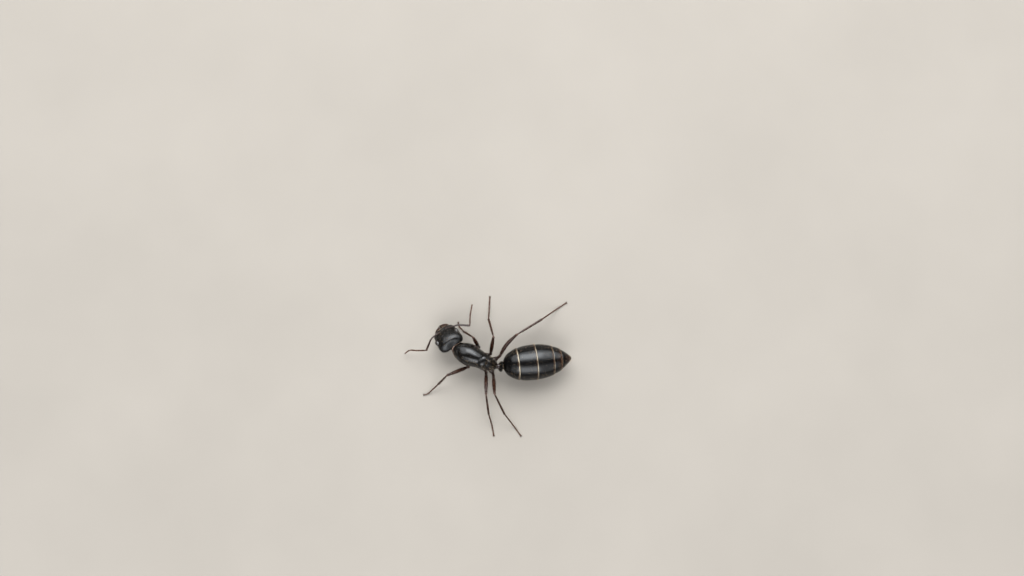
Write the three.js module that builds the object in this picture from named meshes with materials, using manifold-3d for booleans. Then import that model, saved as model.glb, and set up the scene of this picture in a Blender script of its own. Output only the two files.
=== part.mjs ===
// A carpenter ant queen that has shed her wings, life size, standing on six feet.
// Millimetres. +X is the ant's left, +Y runs from the head to the tip of the gaster,
// +Z is up, and the soles stand on z = 0.
import * as THREE from "three";
import { mergeVertices } from "three/addons/utils/BufferGeometryUtils.js";
import Module from "manifold-3d";

const wasm = await Module();
wasm.setup();

// ---- Driving dimensions ----------------------------------------------------

const GAP = 0.05; // clear space between one plate or limb segment and the next
const CENTRE = [0.0, -0.08]; // shifts the whole ant so that its bounds are centred

const HEAD = {
  at: [-3.2, -4.24, 2.1], // middle of the head capsule
  yaw: -56, // turned towards the ant's left
  pitch: 33, // face down
  front: -1.38,
  back: 1.5,
};
const EYE = {
  at: [1.2, 0.12, 0.4],
  length: 0.74,
  width: 0.54,
  depth: 0.34,
  lean: 38,
};
const MANDIBLE = {
  base: [0.64, -1.0, -0.18],
  bend: [0.52, -1.66, -0.24],
  tip: [0.13, -2.0, -0.32],
  wide: 0.33,
  thick: 0.17,
};
const THORAX = { at: [-1.08, -1.25, 2.6], yaw: -24, front: -2.75, back: 2.6 };
const PETIOLE = { at: [-0.08, 1.6, 2.0], yaw: -8, pitch: -4, length: 0.62 };
const GASTER = { at: [-0.17, 1.93, 2.23], yaw: 6.4, pitch: -3, length: 7.36 };
// Where each of the five gaster plates ends, as shares of the gaster's length.
const GASTER_RINGS = [-0.012, 0.215, 0.49, 0.742, 0.862, 1];

// Limb lengths by pair. The two legs of a pair are equally long.
const LEG_PAIRS = {
  front: { coxa: 0.43, femur: 2.95, tibia: 2.4, tarsus: 2.3, sole: 0.5 },
  middle: { coxa: 0.36, femur: 3.05, tibia: 2.95, tarsus: 2.95, sole: 1.1 },
  hind: { coxa: 0.36, femur: 3.55, tibia: 3.5, tarsus: 3.8, sole: 1.2 },
};
// How each leg is held. root and hip are the coxa's two ends in the thorax's own frame.
// femur, tibia, tarsus and sole are bearings in plan, in degrees from +X towards +Y.
// rise is how far the knee stands above the hip, drop how far the ankle is below the knee.
const LEGS = {
  front_left: {
    root: [0.5, -1.3, -0.95],
    hip: [1.24, -0.2, -1.4],
    femur: -69,
    rise: 1.54,
    tibia: -44,
    drop: 1.92,
    tarsus: -47,
    sole: -80,
  },
  front_right: {
    root: [-0.5, -1.25, -0.95],
    hip: [-1.13, -0.03, -1.45],
    femur: -152,
    rise: 2.63,
    tibia: -119,
    drop: 2.08,
    tarsus: -135,
    sole: -171,
  },
  middle_left: {
    root: [0.5, 0.8, -1.0],
    hip: [0.98, 1.76, -1.4],
    femur: 0,
    rise: 1.92,
    tibia: 7,
    drop: 1.88,
    tarsus: 15,
    sole: 10,
  },
  middle_right: {
    root: [-0.45, 0.7, -1.0],
    hip: [-0.95, 1.42, -1.4],
    femur: 170,
    rise: 2.31,
    tibia: -164,
    drop: 2.18,
    tarsus: 177,
    sole: 177,
  },
  hind_left: {
    root: [0.36, 2.0, -0.85],
    hip: [1.0, 2.65, -1.3],
    femur: 4,
    rise: 2.97,
    tibia: 25,
    drop: 2.45,
    tarsus: 36,
    sole: 36,
  },
  hind_right: {
    root: [-0.3, 1.85, -0.85],
    hip: [-1.15, 2.42, -1.35],
    femur: 142,
    rise: 1.77,
    tibia: 121,
    drop: 1.35,
    tarsus: 124,
    sole: 123,
  },
};
const LIMB = 0.27; // radius of a leg segment where it is thinnest
const FEMUR_SWELL = 0.045; // how much thicker a femur is in its middle
const SOLE_HEIGHT = 0.235; // height of a foot's middle line above the floor

// Each antenna: the socket on the head in the head's own frame, then the elbow and the
// points of the funiculus in the ant's frame.
const FEELER = 0.265;
const ANTENNAE = {
  left: {
    socket: [0.42, -0.92, 0.52],
    bow: [-3.2, -6.0, 2.5],
    elbow: [-1.84, -6.55, 2.52],
    funiculus: [
      [-1.8, -7.59, 1.75],
      [-1.85, -8.45, 1.05],
      [-1.42, -9.0, 0.52],
    ],
  },
  right: {
    socket: [-0.42, -0.92, 0.52],
    bow: [-4.62, -3.1, 2.5],
    elbow: [-4.55, -1.81, 2.52],
    funiculus: [
      [-5.7, -1.79, 1.62],
      [-6.86, -1.58, 0.6],
    ],
  },
};

// ---- Curves ----------------------------------------------------------------

const rad = THREE.MathUtils.degToRad;
const vec = (p) => new THREE.Vector3(...p);

// A smooth curve through a few [place, size] keys that never swings past a key.
function curve(keys) {
  const x = keys.map((k) => k[0]),
    v = keys.map((k) => k[1]),
    n = x.length;
  const slope = x.slice(1).map((b, i) => (v[i + 1] - v[i]) / (b - x[i]));
  const m = x.map((_, i) => {
    if (i === 0) return slope[0];
    if (i === n - 1) return slope[n - 2];
    if (slope[i - 1] * slope[i] <= 0) return 0;
    return (2 * slope[i - 1] * slope[i]) / (slope[i - 1] + slope[i]);
  });
  return (at) => {
    const t = Math.min(Math.max(at, x[0]), x[n - 1]);
    let i = 0;
    while (i < n - 2 && t > x[i + 1]) i++;
    const h = x[i + 1] - x[i],
      u = (t - x[i]) / h;
    return (
      v[i] * (1 + 2 * u) * (1 - u) ** 2 +
      h * m[i] * u * (1 - u) ** 2 +
      v[i + 1] * u * u * (3 - 2 * u) +
      h * m[i + 1] * u * u * (u - 1)
    );
  };
}

// A shape whose middle line runs along local y: half its width, and how far it reaches
// above and below the line, at each station. square is the superellipse's exponent.
const head = {
  half: curve([
    [-1.38, 0.62],
    [-1.22, 1.04],
    [-0.9, 1.25],
    [-0.3, 1.345],
    [0.3, 1.42],
    [0.75, 1.465],
    [1.06, 1.4],
    [1.28, 1.22],
    [1.43, 0.92],
    [1.5, 0.56],
  ]),
  top: curve([
    [-1.38, 0.12],
    [-1.16, 0.4],
    [-0.74, 0.68],
    [-0.1, 0.88],
    [0.48, 0.94],
    [0.87, 0.87],
    [1.18, 0.65],
    [1.38, 0.37],
    [1.5, 0.16],
  ]),
  bottom: curve([
    [-1.38, 0.34],
    [-1.16, 0.5],
    [-0.63, 0.66],
    [0, 0.8],
    [0.58, 0.86],
    [0.95, 0.79],
    [1.22, 0.57],
    [1.4, 0.34],
    [1.5, 0.2],
  ]),
  square: 2.35,
};
const thorax = {
  half: curve([
    [-2.75, 0.22],
    [-2.6, 0.42],
    [-2.36, 0.66],
    [-2.0, 0.88],
    [-1.6, 1.04],
    [-1.1, 1.16],
    [-0.6, 1.19],
    [0, 1.08],
    [0.6, 0.96],
    [1.1, 0.87],
    [1.8, 0.77],
    [2.25, 0.6],
    [2.48, 0.42],
    [2.6, 0.26],
  ]),
  top: curve([
    [-2.75, 0.08],
    [-2.55, 0.36],
    [-2.3, 0.64],
    [-2.0, 0.88],
    [-1.6, 1.14],
    [-0.9, 1.38],
    [-0.1, 1.43],
    [0.6, 1.36],
    [1.2, 1.28],
    [1.65, 1.12],
    [2.1, 0.62],
    [2.42, 0.1],
    [2.6, -0.3],
  ]),
  bottom: curve([
    [-2.75, 0.2],
    [-2.5, 0.5],
    [-2.15, 0.78],
    [-1.75, 0.98],
    [-1.2, 1.2],
    [-0.2, 1.42],
    [0.7, 1.4],
    [1.5, 1.24],
    [2.1, 1.06],
    [2.45, 0.9],
    [2.6, 0.78],
  ]),
  square: 2.3,
};
const gaster = {
  half: curve([
    [-0.012, 0.4],
    [0.004, 0.7],
    [0.03, 1.0],
    [0.06, 1.22],
    [0.1, 1.43],
    [0.2, 1.74],
    [0.34, 1.92],
    [0.48, 1.94],
    [0.6, 1.84],
    [0.7, 1.64],
    [0.8, 1.33],
    [0.88, 0.96],
    [0.94, 0.6],
    [0.985, 0.28],
    [1, 0.12],
  ]),
  top: curve([
    [-0.012, 0.28],
    [0.004, 0.58],
    [0.03, 0.9],
    [0.06, 1.14],
    [0.12, 1.43],
    [0.2, 1.63],
    [0.34, 1.75],
    [0.5, 1.7],
    [0.68, 1.48],
    [0.82, 1.16],
    [0.92, 0.76],
    [0.975, 0.38],
    [1, 0.12],
  ]),
  bottom: curve([
    [-0.012, 0.3],
    [0.004, 0.58],
    [0.03, 0.87],
    [0.07, 1.14],
    [0.14, 1.45],
    [0.24, 1.67],
    [0.38, 1.74],
    [0.54, 1.64],
    [0.72, 1.36],
    [0.87, 0.92],
    [0.95, 0.52],
    [0.985, 0.27],
    [1, 0.1],
  ]),
  square: 2.1,
};
const petiole = {
  half: curve([
    [-0.31, 0.32],
    [-0.22, 0.48],
    [0, 0.57],
    [0.2, 0.48],
    [0.31, 0.32],
  ]),
  top: curve([
    [-0.31, -0.1],
    [-0.2, 0.3],
    [-0.08, 0.9],
    [0.04, 1.06],
    [0.14, 0.84],
    [0.24, 0.2],
    [0.31, -0.05],
  ]),
  bottom: curve([
    [-0.31, 0.4],
    [0, 0.52],
    [0.31, 0.36],
  ]),
  square: 2.6,
};

// ---- Shape builders --------------------------------------------------------

// A closed cylinder of three.js whose points are moved onto the shape between two
// stations. A station may be a function of the angle round the shape, which bends the edge.
function plate(shape, { from, to, rings, sides, lift = () => 0, grow = 0, squeeze = (u) => u, scale = 1 }) {
  const edge = (e, a) => (typeof e === "function" ? e(a) : e);
  const mean = (e) => {
    if (typeof e !== "function") return e;
    let sum = 0;
    for (let i = 0; i < 16; i++) sum += e((i / 16) * 2 * Math.PI);
    return sum / 16;
  };
  const g = new THREE.CylinderGeometry(1, 1, 1, sides, rings, false);
  const p = g.getAttribute("position");
  for (let i = 0; i < p.count; i++) {
    const r = Math.hypot(p.getX(i), p.getZ(i)),
      a = Math.atan2(p.getZ(i), p.getX(i)),
      u = squeeze(0.5 - p.getY(i));
    const rim = r > 0.5;
    const y0 = (rim ? edge(from, a) : mean(from)) - grow,
      y1 = (rim ? edge(to, a) : mean(to)) + grow;
    const y = y0 + (y1 - y0) * u;
    const up = Math.sin(a) >= 0,
      at = y / scale;
    const top = shape.top(at),
      bottom = shape.bottom(at);
    const middle = (top - bottom) / 2,
      high = (top + bottom) / 2 + grow + lift(u, a);
    const wide = shape.half(at) + grow + lift(u, a);
    const n = shape.square;
    const q = rim
      ? (Math.abs(Math.cos(a)) ** n + Math.abs(Math.sin(a)) ** n) ** (-1 / n)
      : 0;
    p.setXYZ(
      i,
      wide * q * Math.cos(a),
      y,
      middle + high * q * Math.abs(Math.sin(a)) * (up ? 1 : -1),
    );
  }
  return bare(g);
}

// Only positions and faces, turned to face outwards.
function bare(g) {
  const out = new THREE.BufferGeometry();
  out.setAttribute("position", g.getAttribute("position"));
  out.setIndex(g.index);
  const merged = mergeVertices(out, 1e-4);
  const index = merged.index.array,
    p = merged.getAttribute("position");
  const a = new THREE.Vector3(),
    b = new THREE.Vector3(),
    c = new THREE.Vector3();
  let volume = 0;
  for (let i = 0; i < index.length; i += 3) {
    a.fromBufferAttribute(p, index[i]);
    b.fromBufferAttribute(p, index[i + 1]);
    c.fromBufferAttribute(p, index[i + 2]);
    volume += a.dot(b.cross(c));
  }
  if (volume < 0)
    for (let i = 0; i < index.length; i += 3)
      [index[i + 1], index[i + 2]] = [index[i + 2], index[i + 1]];
  return merged;
}

// A path of straight runs with rounded corners. mark[i] is the length along the path at
// which corner i is half turned.
function route(points, radii) {
  const runs = [];
  const mark = [];
  let length = 0;
  const add = (size, at) => {
    runs.push({ start: length, size, at });
    length += size;
  };
  let from = points[0];
  for (let i = 1; i < points.length; i++) {
    const corner = points[i];
    if (i === points.length - 1) {
      const a = from.clone(),
        d = corner.clone().sub(a);
      const size = d.length();
      d.normalize();
      add(size, (s) => [a.clone().addScaledVector(d, s), d.clone()]);
      break;
    }
    const d1 = corner.clone().sub(points[i - 1]).normalize(),
      d2 = points[i + 1].clone().sub(corner).normalize();
    const turn = Math.acos(THREE.MathUtils.clamp(d1.dot(d2), -1, 1));
    const room = 0.48 * Math.min(corner.distanceTo(points[i - 1]), corner.distanceTo(points[i + 1]));
    const back = Math.min(radii[i - 1] * Math.tan(turn / 2), room);
    const radius = back / Math.tan(turn / 2);
    const begin = corner.clone().addScaledVector(d1, -back);
    const a = from.clone(),
      size = begin.clone().sub(a).length();
    add(size, (s) => [a.clone().addScaledVector(d1, s), d1.clone()]);
    const inward = d2.clone().addScaledVector(d1, -d1.dot(d2)).normalize();
    mark[i] = length + (radius * turn) / 2;
    add(radius * turn, (s) => {
      const w = s / radius;
      return [
        begin
          .clone()
          .addScaledVector(d1, radius * Math.sin(w))
          .addScaledVector(inward, radius * (1 - Math.cos(w))),
        d1.clone().multiplyScalar(Math.cos(w)).addScaledVector(inward, Math.sin(w)),
      ];
    });
    from = corner.clone().addScaledVector(d2, back);
  }
  return {
    length,
    mark,
    at(s) {
      const run = runs.findLast((r) => s >= r.start - 1e-9) ?? runs[0];
      return run.at(s - run.start);
    },
  };
}

// A tube along part of a route. radius(s) is its radius, side the direction it is measured
// across, floor the height below which nothing may reach.
function tube(path, { from, to, rings, sides, radius, side, squeeze = (u) => u, floor = -1e9, grow = 0, flat = 1 }) {
  const g = new THREE.CylinderGeometry(1, 1, 1, sides, rings, false);
  const p = g.getAttribute("position");
  for (let i = 0; i < p.count; i++) {
    const a = Math.atan2(p.getZ(i), p.getX(i)),
      r = Math.hypot(p.getX(i), p.getZ(i)) > 0.5 ? 1 : 0;
    const u = squeeze(0.5 - p.getY(i));
    const s = from - grow + (to - from + 2 * grow) * u;
    const [point, along] = path.at(Math.min(Math.max(s, 0), path.length));
    if (s < 0 || s > path.length)
      point.addScaledVector(along, s < 0 ? s : s - path.length);
    const across = side.clone().addScaledVector(along, -side.dot(along)).normalize();
    const up = along.clone().cross(across);
    const size = radius(s) + grow;
    point
      .addScaledVector(across, r * (size * flat) * Math.cos(a))
      .addScaledVector(up, r * size * Math.sin(a));
    p.setXYZ(i, point.x, point.y, Math.max(point.z, floor));
  }
  return bare(g);
}

function solid(geometry, matrix) {
  const g = geometry.clone();
  if (matrix) g.applyMatrix4(matrix);
  return new wasm.Manifold(
    new wasm.Mesh({
      numProp: 3,
      vertProperties: new Float32Array(g.getAttribute("position").array),
      triVerts: new Uint32Array(g.index.array),
    }),
  );
}

function surface(made, matrix) {
  const m = made.getMesh(),
    n = m.numProp;
  const v = new Float32Array((m.vertProperties.length / n) * 3);
  for (let i = 0; i < v.length / 3; i++)
    v.set(m.vertProperties.subarray(i * n, i * n + 3), i * 3);
  const g = new THREE.BufferGeometry();
  g.setAttribute("position", new THREE.BufferAttribute(v, 3));
  g.setIndex(new THREE.BufferAttribute(new Uint32Array(m.triVerts), 1));
  if (matrix) g.applyMatrix4(matrix);
  return g;
}

// ---- Materials -------------------------------------------------------------

const chitinBlack = () =>
  new THREE.MeshStandardMaterial({ name: "chitin_black", color: 0x15120f, roughness: 0.3 });
const chitinBrown = () =>
  new THREE.MeshStandardMaterial({ name: "chitin_brown", color: 0x3a1a0e, roughness: 0.35 });
const eyeBlack = () =>
  new THREE.MeshStandardMaterial({ name: "eye", color: 0x1b1614, roughness: 0.25 });

function mesh(name, geometry, material) {
  const m = new THREE.Mesh(geometry, material());
  m.name = name;
  return m;
}

// ---- The ant ---------------------------------------------------------------

const ant = new THREE.Group();
ant.name = "ant";

function group(name, { at, yaw = 0, pitch = 0 }) {
  const g = new THREE.Group();
  g.name = name;
  g.position.set(at[0] + CENTRE[0], at[1] + CENTRE[1], at[2]);
  g.rotation.set(rad(pitch), 0, rad(yaw), "ZXY");
  ant.add(g);
  g.updateMatrixWorld(true);
  return g;
}

const headGroup = group("head_group", HEAD);
const thoraxGroup = group("thorax_group", THORAX);
const petioleGroup = group("petiole_group", PETIOLE);
const gasterGroup = group("gaster_group", GASTER);

// Rings crowd towards both ends, where the shape rounds off.
const crowd = (u) => 0.5 - 0.5 * Math.cos(Math.PI * u) * (1 - 0.25 * Math.sin(Math.PI * u));

// The pronotum is a collar: on the back it is short, at the sides it reaches towards the
// wing scars, underneath it ends at the front hips.
const collar = (a) => {
  const s = Math.sin(a);
  return s > 0
    ? THREE.MathUtils.lerp(-1.25, -2.1, s ** 2.2)
    : THREE.MathUtils.lerp(-1.25, -1.85, (-s) ** 1.5);
};
const waist = (a) => 1.5 + 0.1 * Math.sin(a);
const after = (edge, gap) => (a) => edge(a) + gap;
const thoraxPieces = {
  pronotum: { from: THORAX.front, to: collar, rings: 5, sides: 20 },
  mesothorax: { from: after(collar, GAP), to: waist, rings: 7, sides: 20 },
  propodeum: { from: after(waist, GAP), to: THORAX.back, rings: 6, sides: 20 },
};
const thoraxGeometry = Object.fromEntries(
  Object.entries(thoraxPieces).map(([name, p]) => [name, plate(thorax, p)]),
);
// The trunk as one body, grown by the gap: what limbs and neighbours are cut by.
const trunkCutter = solid(
  plate(thorax, { from: THORAX.front, to: THORAX.back, rings: 16, sides: 20, grow: GAP }),
  thoraxGroup.matrixWorld,
);

// The scutellum is a rounded shield set into the back behind the great dorsal plate.
function shield(grow) {
  const g = new THREE.SphereGeometry(1, 14, 8);
  g.rotateX(Math.PI / 2);
  g.scale(0.62 + grow, 0.42 + grow, 0.26 + grow);
  g.rotateX(rad(-9));
  g.translate(0, 0.98, 1.12);
  return bare(g);
}
const scutellumCutter = solid(shield(GAP));
thoraxGeometry.mesothorax = surface(
  solid(thoraxGeometry.mesothorax).subtract(scutellumCutter),
);
thoraxGroup.add(
  mesh("pronotum", thoraxGeometry.pronotum, chitinBlack),
  mesh("mesothorax", thoraxGeometry.mesothorax, chitinBlack),
  mesh("scutellum", shield(0), chitinBlack),
  mesh("propodeum", thoraxGeometry.propodeum, chitinBlack),
);

// Head capsule, hollowed behind for the neck and at the sides for the eyes.
const headShape = (grow) =>
  plate(head, {
    from: HEAD.front,
    to: HEAD.back,
    rings: 12,
    sides: 20,
    grow,
    squeeze: crowd,
  });
function eyeball(sign, grow) {
  const g = new THREE.SphereGeometry(1, 12, 8);
  g.scale(EYE.depth + grow, EYE.length / 2 + grow, EYE.width / 2 + grow);
  g.rotateY(-rad(EYE.lean));
  g.translate(...EYE.at);
  if (sign < 0) g.scale(-1, 1, 1);
  return bare(g);
}
const headWorld = headGroup.matrixWorld,
  headBack = headWorld.clone().invert();
let skull = solid(headShape(0));
for (const sign of [1, -1]) skull = skull.subtract(solid(eyeball(sign, GAP)));
skull = skull.transform(headWorld.elements).subtract(trunkCutter);
headGroup.add(mesh("head", surface(skull, headBack), chitinBlack));
for (const [side, sign] of [
  ["left", 1],
  ["right", -1],
])
  headGroup.add(mesh("eye_" + side, eyeball(sign, 0), eyeBlack));
const headCutter = solid(headShape(GAP), headWorld);

// Jaws, closed, their tips meeting in front of the mouth.
for (const [side, sign] of [
  ["left", 1],
  ["right", -1],
]) {
  const path = route([vec(MANDIBLE.base), vec(MANDIBLE.bend), vec(MANDIBLE.tip)], [0.3]);
  const g = tube(path, {
    from: 0,
    to: path.length,
    rings: 6,
    sides: 8,
    radius: (s) => MANDIBLE.wide * (1 - 0.7 * (s / path.length) ** 2.5),
    side: new THREE.Vector3(0, 0, 1),
    flat: MANDIBLE.thick / MANDIBLE.wide,
  });
  if (sign < 0) g.scale(-1, 1, 1);
  const cut = solid(bare(g), headWorld).subtract(headCutter);
  headGroup.add(mesh("mandible_" + side, surface(cut, headBack), chitinBrown));
}

// Feelers: a long scape, then the funiculus bent at the elbow.
for (const [side, a] of Object.entries(ANTENNAE)) {
  const shift = new THREE.Vector3(CENTRE[0], CENTRE[1], 0);
  const points = [
    vec(a.socket).applyMatrix4(headWorld),
    vec(a.bow).add(shift),
    vec(a.elbow).add(shift),
    ...a.funiculus.map((p) => vec(p).add(shift)),
  ];
  const path = route(points, points.slice(2).map((_, i) => (i === 1 ? 0.32 : 1.2)));
  const elbow = path.mark[2];
  const plane = points[2]
    .clone()
    .sub(points[1])
    .cross(points[3].clone().sub(points[2]))
    .normalize();
  const tip = (s) => FEELER * Math.sqrt(Math.min(1, 0.2 + (path.length - s) / 0.3));
  const scape = tube(path, {
    from: 0,
    to: elbow - GAP / 2,
    rings: 8,
    sides: 8,
    radius: () => FEELER,
    side: plane,
  });
  const base = new THREE.Group();
  base.name = "antenna_" + side;
  base.position.copy(points[0]);
  ant.add(base);
  const home = new THREE.Matrix4().makeTranslation(points[0].clone().negate());
  base.add(
    mesh("antenna_" + side + "_scape", surface(solid(scape).subtract(headCutter), home), chitinBlack),
    mesh(
      "antenna_" + side + "_funiculus",
      tube(path, {
        from: elbow + GAP / 2,
        to: path.length,
        rings: 10,
        sides: 8,
        radius: tip,
        side: plane,
        squeeze: (u) => u + 0.12 * Math.sin(Math.PI * u),
      }).applyMatrix4(home),
      chitinBrown,
    ),
  );
}

// Petiole: the upright scale between trunk and gaster.
const gasterStation = (u) => u * GASTER.length;
const gasterRing = (i, grow = 0) => {
  const from = gasterStation(GASTER_RINGS[i]) + (i ? GAP : 0),
    to = gasterStation(GASTER_RINGS[i + 1]);
  return plate(gaster, {
    from,
    to,
    rings: [7, 4, 4, 3, 6][i],
    sides: 22,
    grow,
    scale: GASTER.length,
    squeeze: i === 0 ? (u) => u ** 1.5 : i === 4 ? (u) => 1 - (1 - u) ** 1.5 : (u) => u,
    // The hind edge of each plate stands a little proud of the next.
    lift: (u) => (i < 4 ? 0.035 * u ** 3 : 0),
  });
};
const gasterCutter = solid(gasterRing(0, GAP), gasterGroup.matrixWorld);
const scaleSolid = solid(
  plate(petiole, { from: -0.31, to: 0.31, rings: 7, sides: 16 }),
  petioleGroup.matrixWorld,
)
  .subtract(trunkCutter)
  .subtract(gasterCutter);
petioleGroup.add(
  mesh("petiole", surface(scaleSolid, petioleGroup.matrixWorld.clone().invert()), chitinBlack),
);
for (let i = 0; i < 5; i++)
  gasterGroup.add(mesh("gaster_" + (i + 1), gasterRing(i), chitinBlack));

// Legs.
const bearing = (degrees, plan, rise) =>
  new THREE.Vector3(plan * Math.cos(rad(degrees)), plan * Math.sin(rad(degrees)), rise);
const reach = (long, high) => Math.sqrt(long * long - high * high);
for (const [name, pose] of Object.entries(LEGS)) {
  const size = LEG_PAIRS[name.split("_")[0]];
  const root = vec(pose.root).applyMatrix4(thoraxGroup.matrixWorld),
    hip = vec(pose.hip).applyMatrix4(thoraxGroup.matrixWorld);
  const knee = hip.clone().add(bearing(pose.femur, reach(size.femur, pose.rise), pose.rise));
  const ankle = knee.clone().add(bearing(pose.tibia, reach(size.tibia, pose.drop), -pose.drop));
  const fall = ankle.z - SOLE_HEIGHT;
  const heel = ankle.clone().add(bearing(pose.tarsus, reach(size.tarsus - size.sole, fall), -fall));
  const toe = heel.clone().add(bearing(pose.sole, size.sole, 0));
  const path = route([hip, knee, ankle, heel, toe], [0.31, 0.5, 0.9]);
  const side = knee.clone().sub(hip).cross(ankle.clone().sub(knee)).normalize();
  const [, kneeAt, ankleAt] = path.mark;

  const leg = new THREE.Group();
  leg.name = "leg_" + name;
  leg.position.copy(root);
  ant.add(leg);
  const home = new THREE.Matrix4().makeTranslation(root.clone().negate());

  // The coxa hangs under the trunk and narrows to the trochanter at its lower end.
  const thigh = route([root, hip], []);
  const coxa = (grow) =>
    tube(thigh, {
      from: -0.1,
      to: thigh.length + 0.16,
      rings: 6,
      sides: 8,
      radius: (s) => {
        const u = Math.max(0, s / thigh.length);
        const end = Math.max(0, (thigh.length + 0.17 - s) / 0.34);
        return (size.coxa - (size.coxa - LIMB) * u ** 1.5) * Math.sqrt(Math.min(1, end));
      },
      side: new THREE.Vector3(0, 0, 1),
      squeeze: (u) => u + 0.1 * Math.sin(Math.PI * u),
      grow,
    });
  const cut = solid(coxa(0)).subtract(trunkCutter);
  const femur = solid(
    tube(path, {
      from: 0,
      to: kneeAt - GAP / 2,
      rings: 8,
      sides: 8,
      radius: (s) => LIMB + FEMUR_SWELL * Math.sin(Math.PI * Math.min(1, s / kneeAt)) ** 0.8,
      side,
    }),
  )
    .subtract(solid(coxa(GAP)))
    .subtract(trunkCutter);
  leg.add(
    mesh("leg_" + name + "_coxa", surface(cut, home), chitinBrown),
    mesh("leg_" + name + "_femur", surface(femur, home), chitinBrown),
    mesh(
      "leg_" + name + "_tibia",
      tube(path, {
        from: kneeAt + GAP / 2,
        to: ankleAt - GAP / 2,
        rings: 7,
        sides: 8,
        radius: (s) => LIMB - 0.012 * Math.sin((Math.PI * (s - kneeAt)) / (ankleAt - kneeAt)),
        side,
        squeeze: (u) => u - 0.08 * Math.sin(Math.PI * u),
      }).applyMatrix4(home),
      chitinBrown,
    ),
    mesh(
      "leg_" + name + "_tarsus",
      tube(path, {
        from: ankleAt + GAP / 2,
        to: path.length,
        rings: 10,
        sides: 8,
        radius: (s) => LIMB * Math.sqrt(Math.min(1, 0.25 + (path.length - s) / 0.3)),
        side,
        floor: 0,
        squeeze: (u) => u + 0.08 * Math.sin(Math.PI * u),
      }).applyMatrix4(home),
      chitinBrown,
    ),
  );
}

export default ant;
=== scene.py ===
# A carpenter ant queen without wings, life size, standing on six feet.
# Shapes are worked out in millimetres in the model's own frame (+X the ant's left, +Y
# towards the gaster tip, +Z up, soles on z = 0) and written to Blender in metres.
import math

import bpy
import numpy as np
from mathutils import Matrix, Vector

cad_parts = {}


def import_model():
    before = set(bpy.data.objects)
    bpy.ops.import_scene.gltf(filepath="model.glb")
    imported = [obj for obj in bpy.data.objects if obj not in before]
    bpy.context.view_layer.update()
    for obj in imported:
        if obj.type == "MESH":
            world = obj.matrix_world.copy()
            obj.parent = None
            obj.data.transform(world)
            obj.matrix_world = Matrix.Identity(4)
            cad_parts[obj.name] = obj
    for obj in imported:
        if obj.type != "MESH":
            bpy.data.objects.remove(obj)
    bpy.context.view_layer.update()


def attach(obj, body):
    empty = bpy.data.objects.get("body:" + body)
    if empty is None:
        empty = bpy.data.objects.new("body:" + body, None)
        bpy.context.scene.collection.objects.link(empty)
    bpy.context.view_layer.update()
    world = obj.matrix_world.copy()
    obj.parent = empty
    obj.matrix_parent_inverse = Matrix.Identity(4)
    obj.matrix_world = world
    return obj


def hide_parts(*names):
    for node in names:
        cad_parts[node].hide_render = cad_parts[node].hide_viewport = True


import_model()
MM = 0.001
PI = math.pi
rng = np.random.default_rng(20)

# ------------------------------------------------------------------ sizes, mm
CENTRE = (0.0, -0.08)
HEAD = dict(at=(-3.2, -4.24, 2.1), yaw=-56, pitch=33)
THORAX = dict(at=(-1.08, -1.25, 2.6), yaw=-24, pitch=0)
PETIOLE = dict(at=(-0.08, 1.6, 2.0), yaw=-8, pitch=-4)
GASTER = dict(at=(-0.17, 1.93, 2.23), yaw=6.4, pitch=-3)
GASTER_LENGTH = 7.36
GASTER_RINGS = (0, 0.215, 0.49, 0.742, 0.862, 1)
EYE = dict(at=(1.195, 0.12, 0.4), radii=(0.34, 0.37, 0.27), lean=38)
LEG_PAIRS = dict(
    front=dict(coxa=0.43, femur=2.95, tibia=2.4, tarsus=2.3, sole=0.5),
    middle=dict(coxa=0.36, femur=3.05, tibia=2.95, tarsus=2.95, sole=1.1),
    hind=dict(coxa=0.36, femur=3.55, tibia=3.5, tarsus=3.8, sole=1.2),
)
LEGS = dict(
    front_left=((0.5, -1.3, -0.95), (1.24, -0.2, -1.4), -69, 1.54, -44, 1.92, -47, -80),
    front_right=((-0.5, -1.25, -0.95), (-1.13, -0.03, -1.45), -152, 2.63, -119, 2.08, -135, -171),
    middle_left=((0.5, 0.8, -1.0), (0.98, 1.76, -1.4), 0, 1.92, 7, 1.88, 15, 10),
    middle_right=((-0.45, 0.7, -1.0), (-0.95, 1.42, -1.4), 170, 2.31, -164, 2.18, 177, 177),
    hind_left=((0.36, 2.0, -0.85), (1.0, 2.65, -1.3), 4, 2.97, 25, 2.45, 36, 36),
    hind_right=((-0.3, 1.85, -0.85), (-1.15, 2.42, -1.35), 142, 1.77, 121, 1.35, 124, 123),
)
SOLE = 0.085  # height of a foot's middle line above the floor
ANTENNAE = dict(
    left=((-3.2, -6.0, 2.5), (-1.84, -6.55, 2.52), ((-1.8, -7.59, 1.75), (-1.85, -8.45, 1.05), (-1.42, -9.0, 0.52))),
    right=((-4.62, -3.1, 2.5), (-4.55, -1.81, 2.52), ((-5.7, -1.79, 1.62), (-6.86, -1.58, 0.6))),
)
SOCKET = (0.4, -0.76)  # antennal socket on the face, left side


# ------------------------------------------------------------------ numbers
def ramp(x, a, b):
    t = np.clip((np.asarray(x, float) - a) / (b - a), 0, 1)
    return t * t * (3 - 2 * t)


def bell(x, w):
    return np.exp(-((np.asarray(x, float) / w) ** 2))


def unit(v):
    v = np.asarray(v, float)
    return v / np.maximum(np.linalg.norm(v, axis=-1, keepdims=True), 1e-12)


def turn(yaw=0, pitch=0, roll=0):
    m = Matrix.Rotation(math.radians(yaw), 3, "Z") @ Matrix.Rotation(math.radians(pitch), 3, "X")
    return np.array(m @ Matrix.Rotation(math.radians(roll), 3, "Y"))


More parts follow.
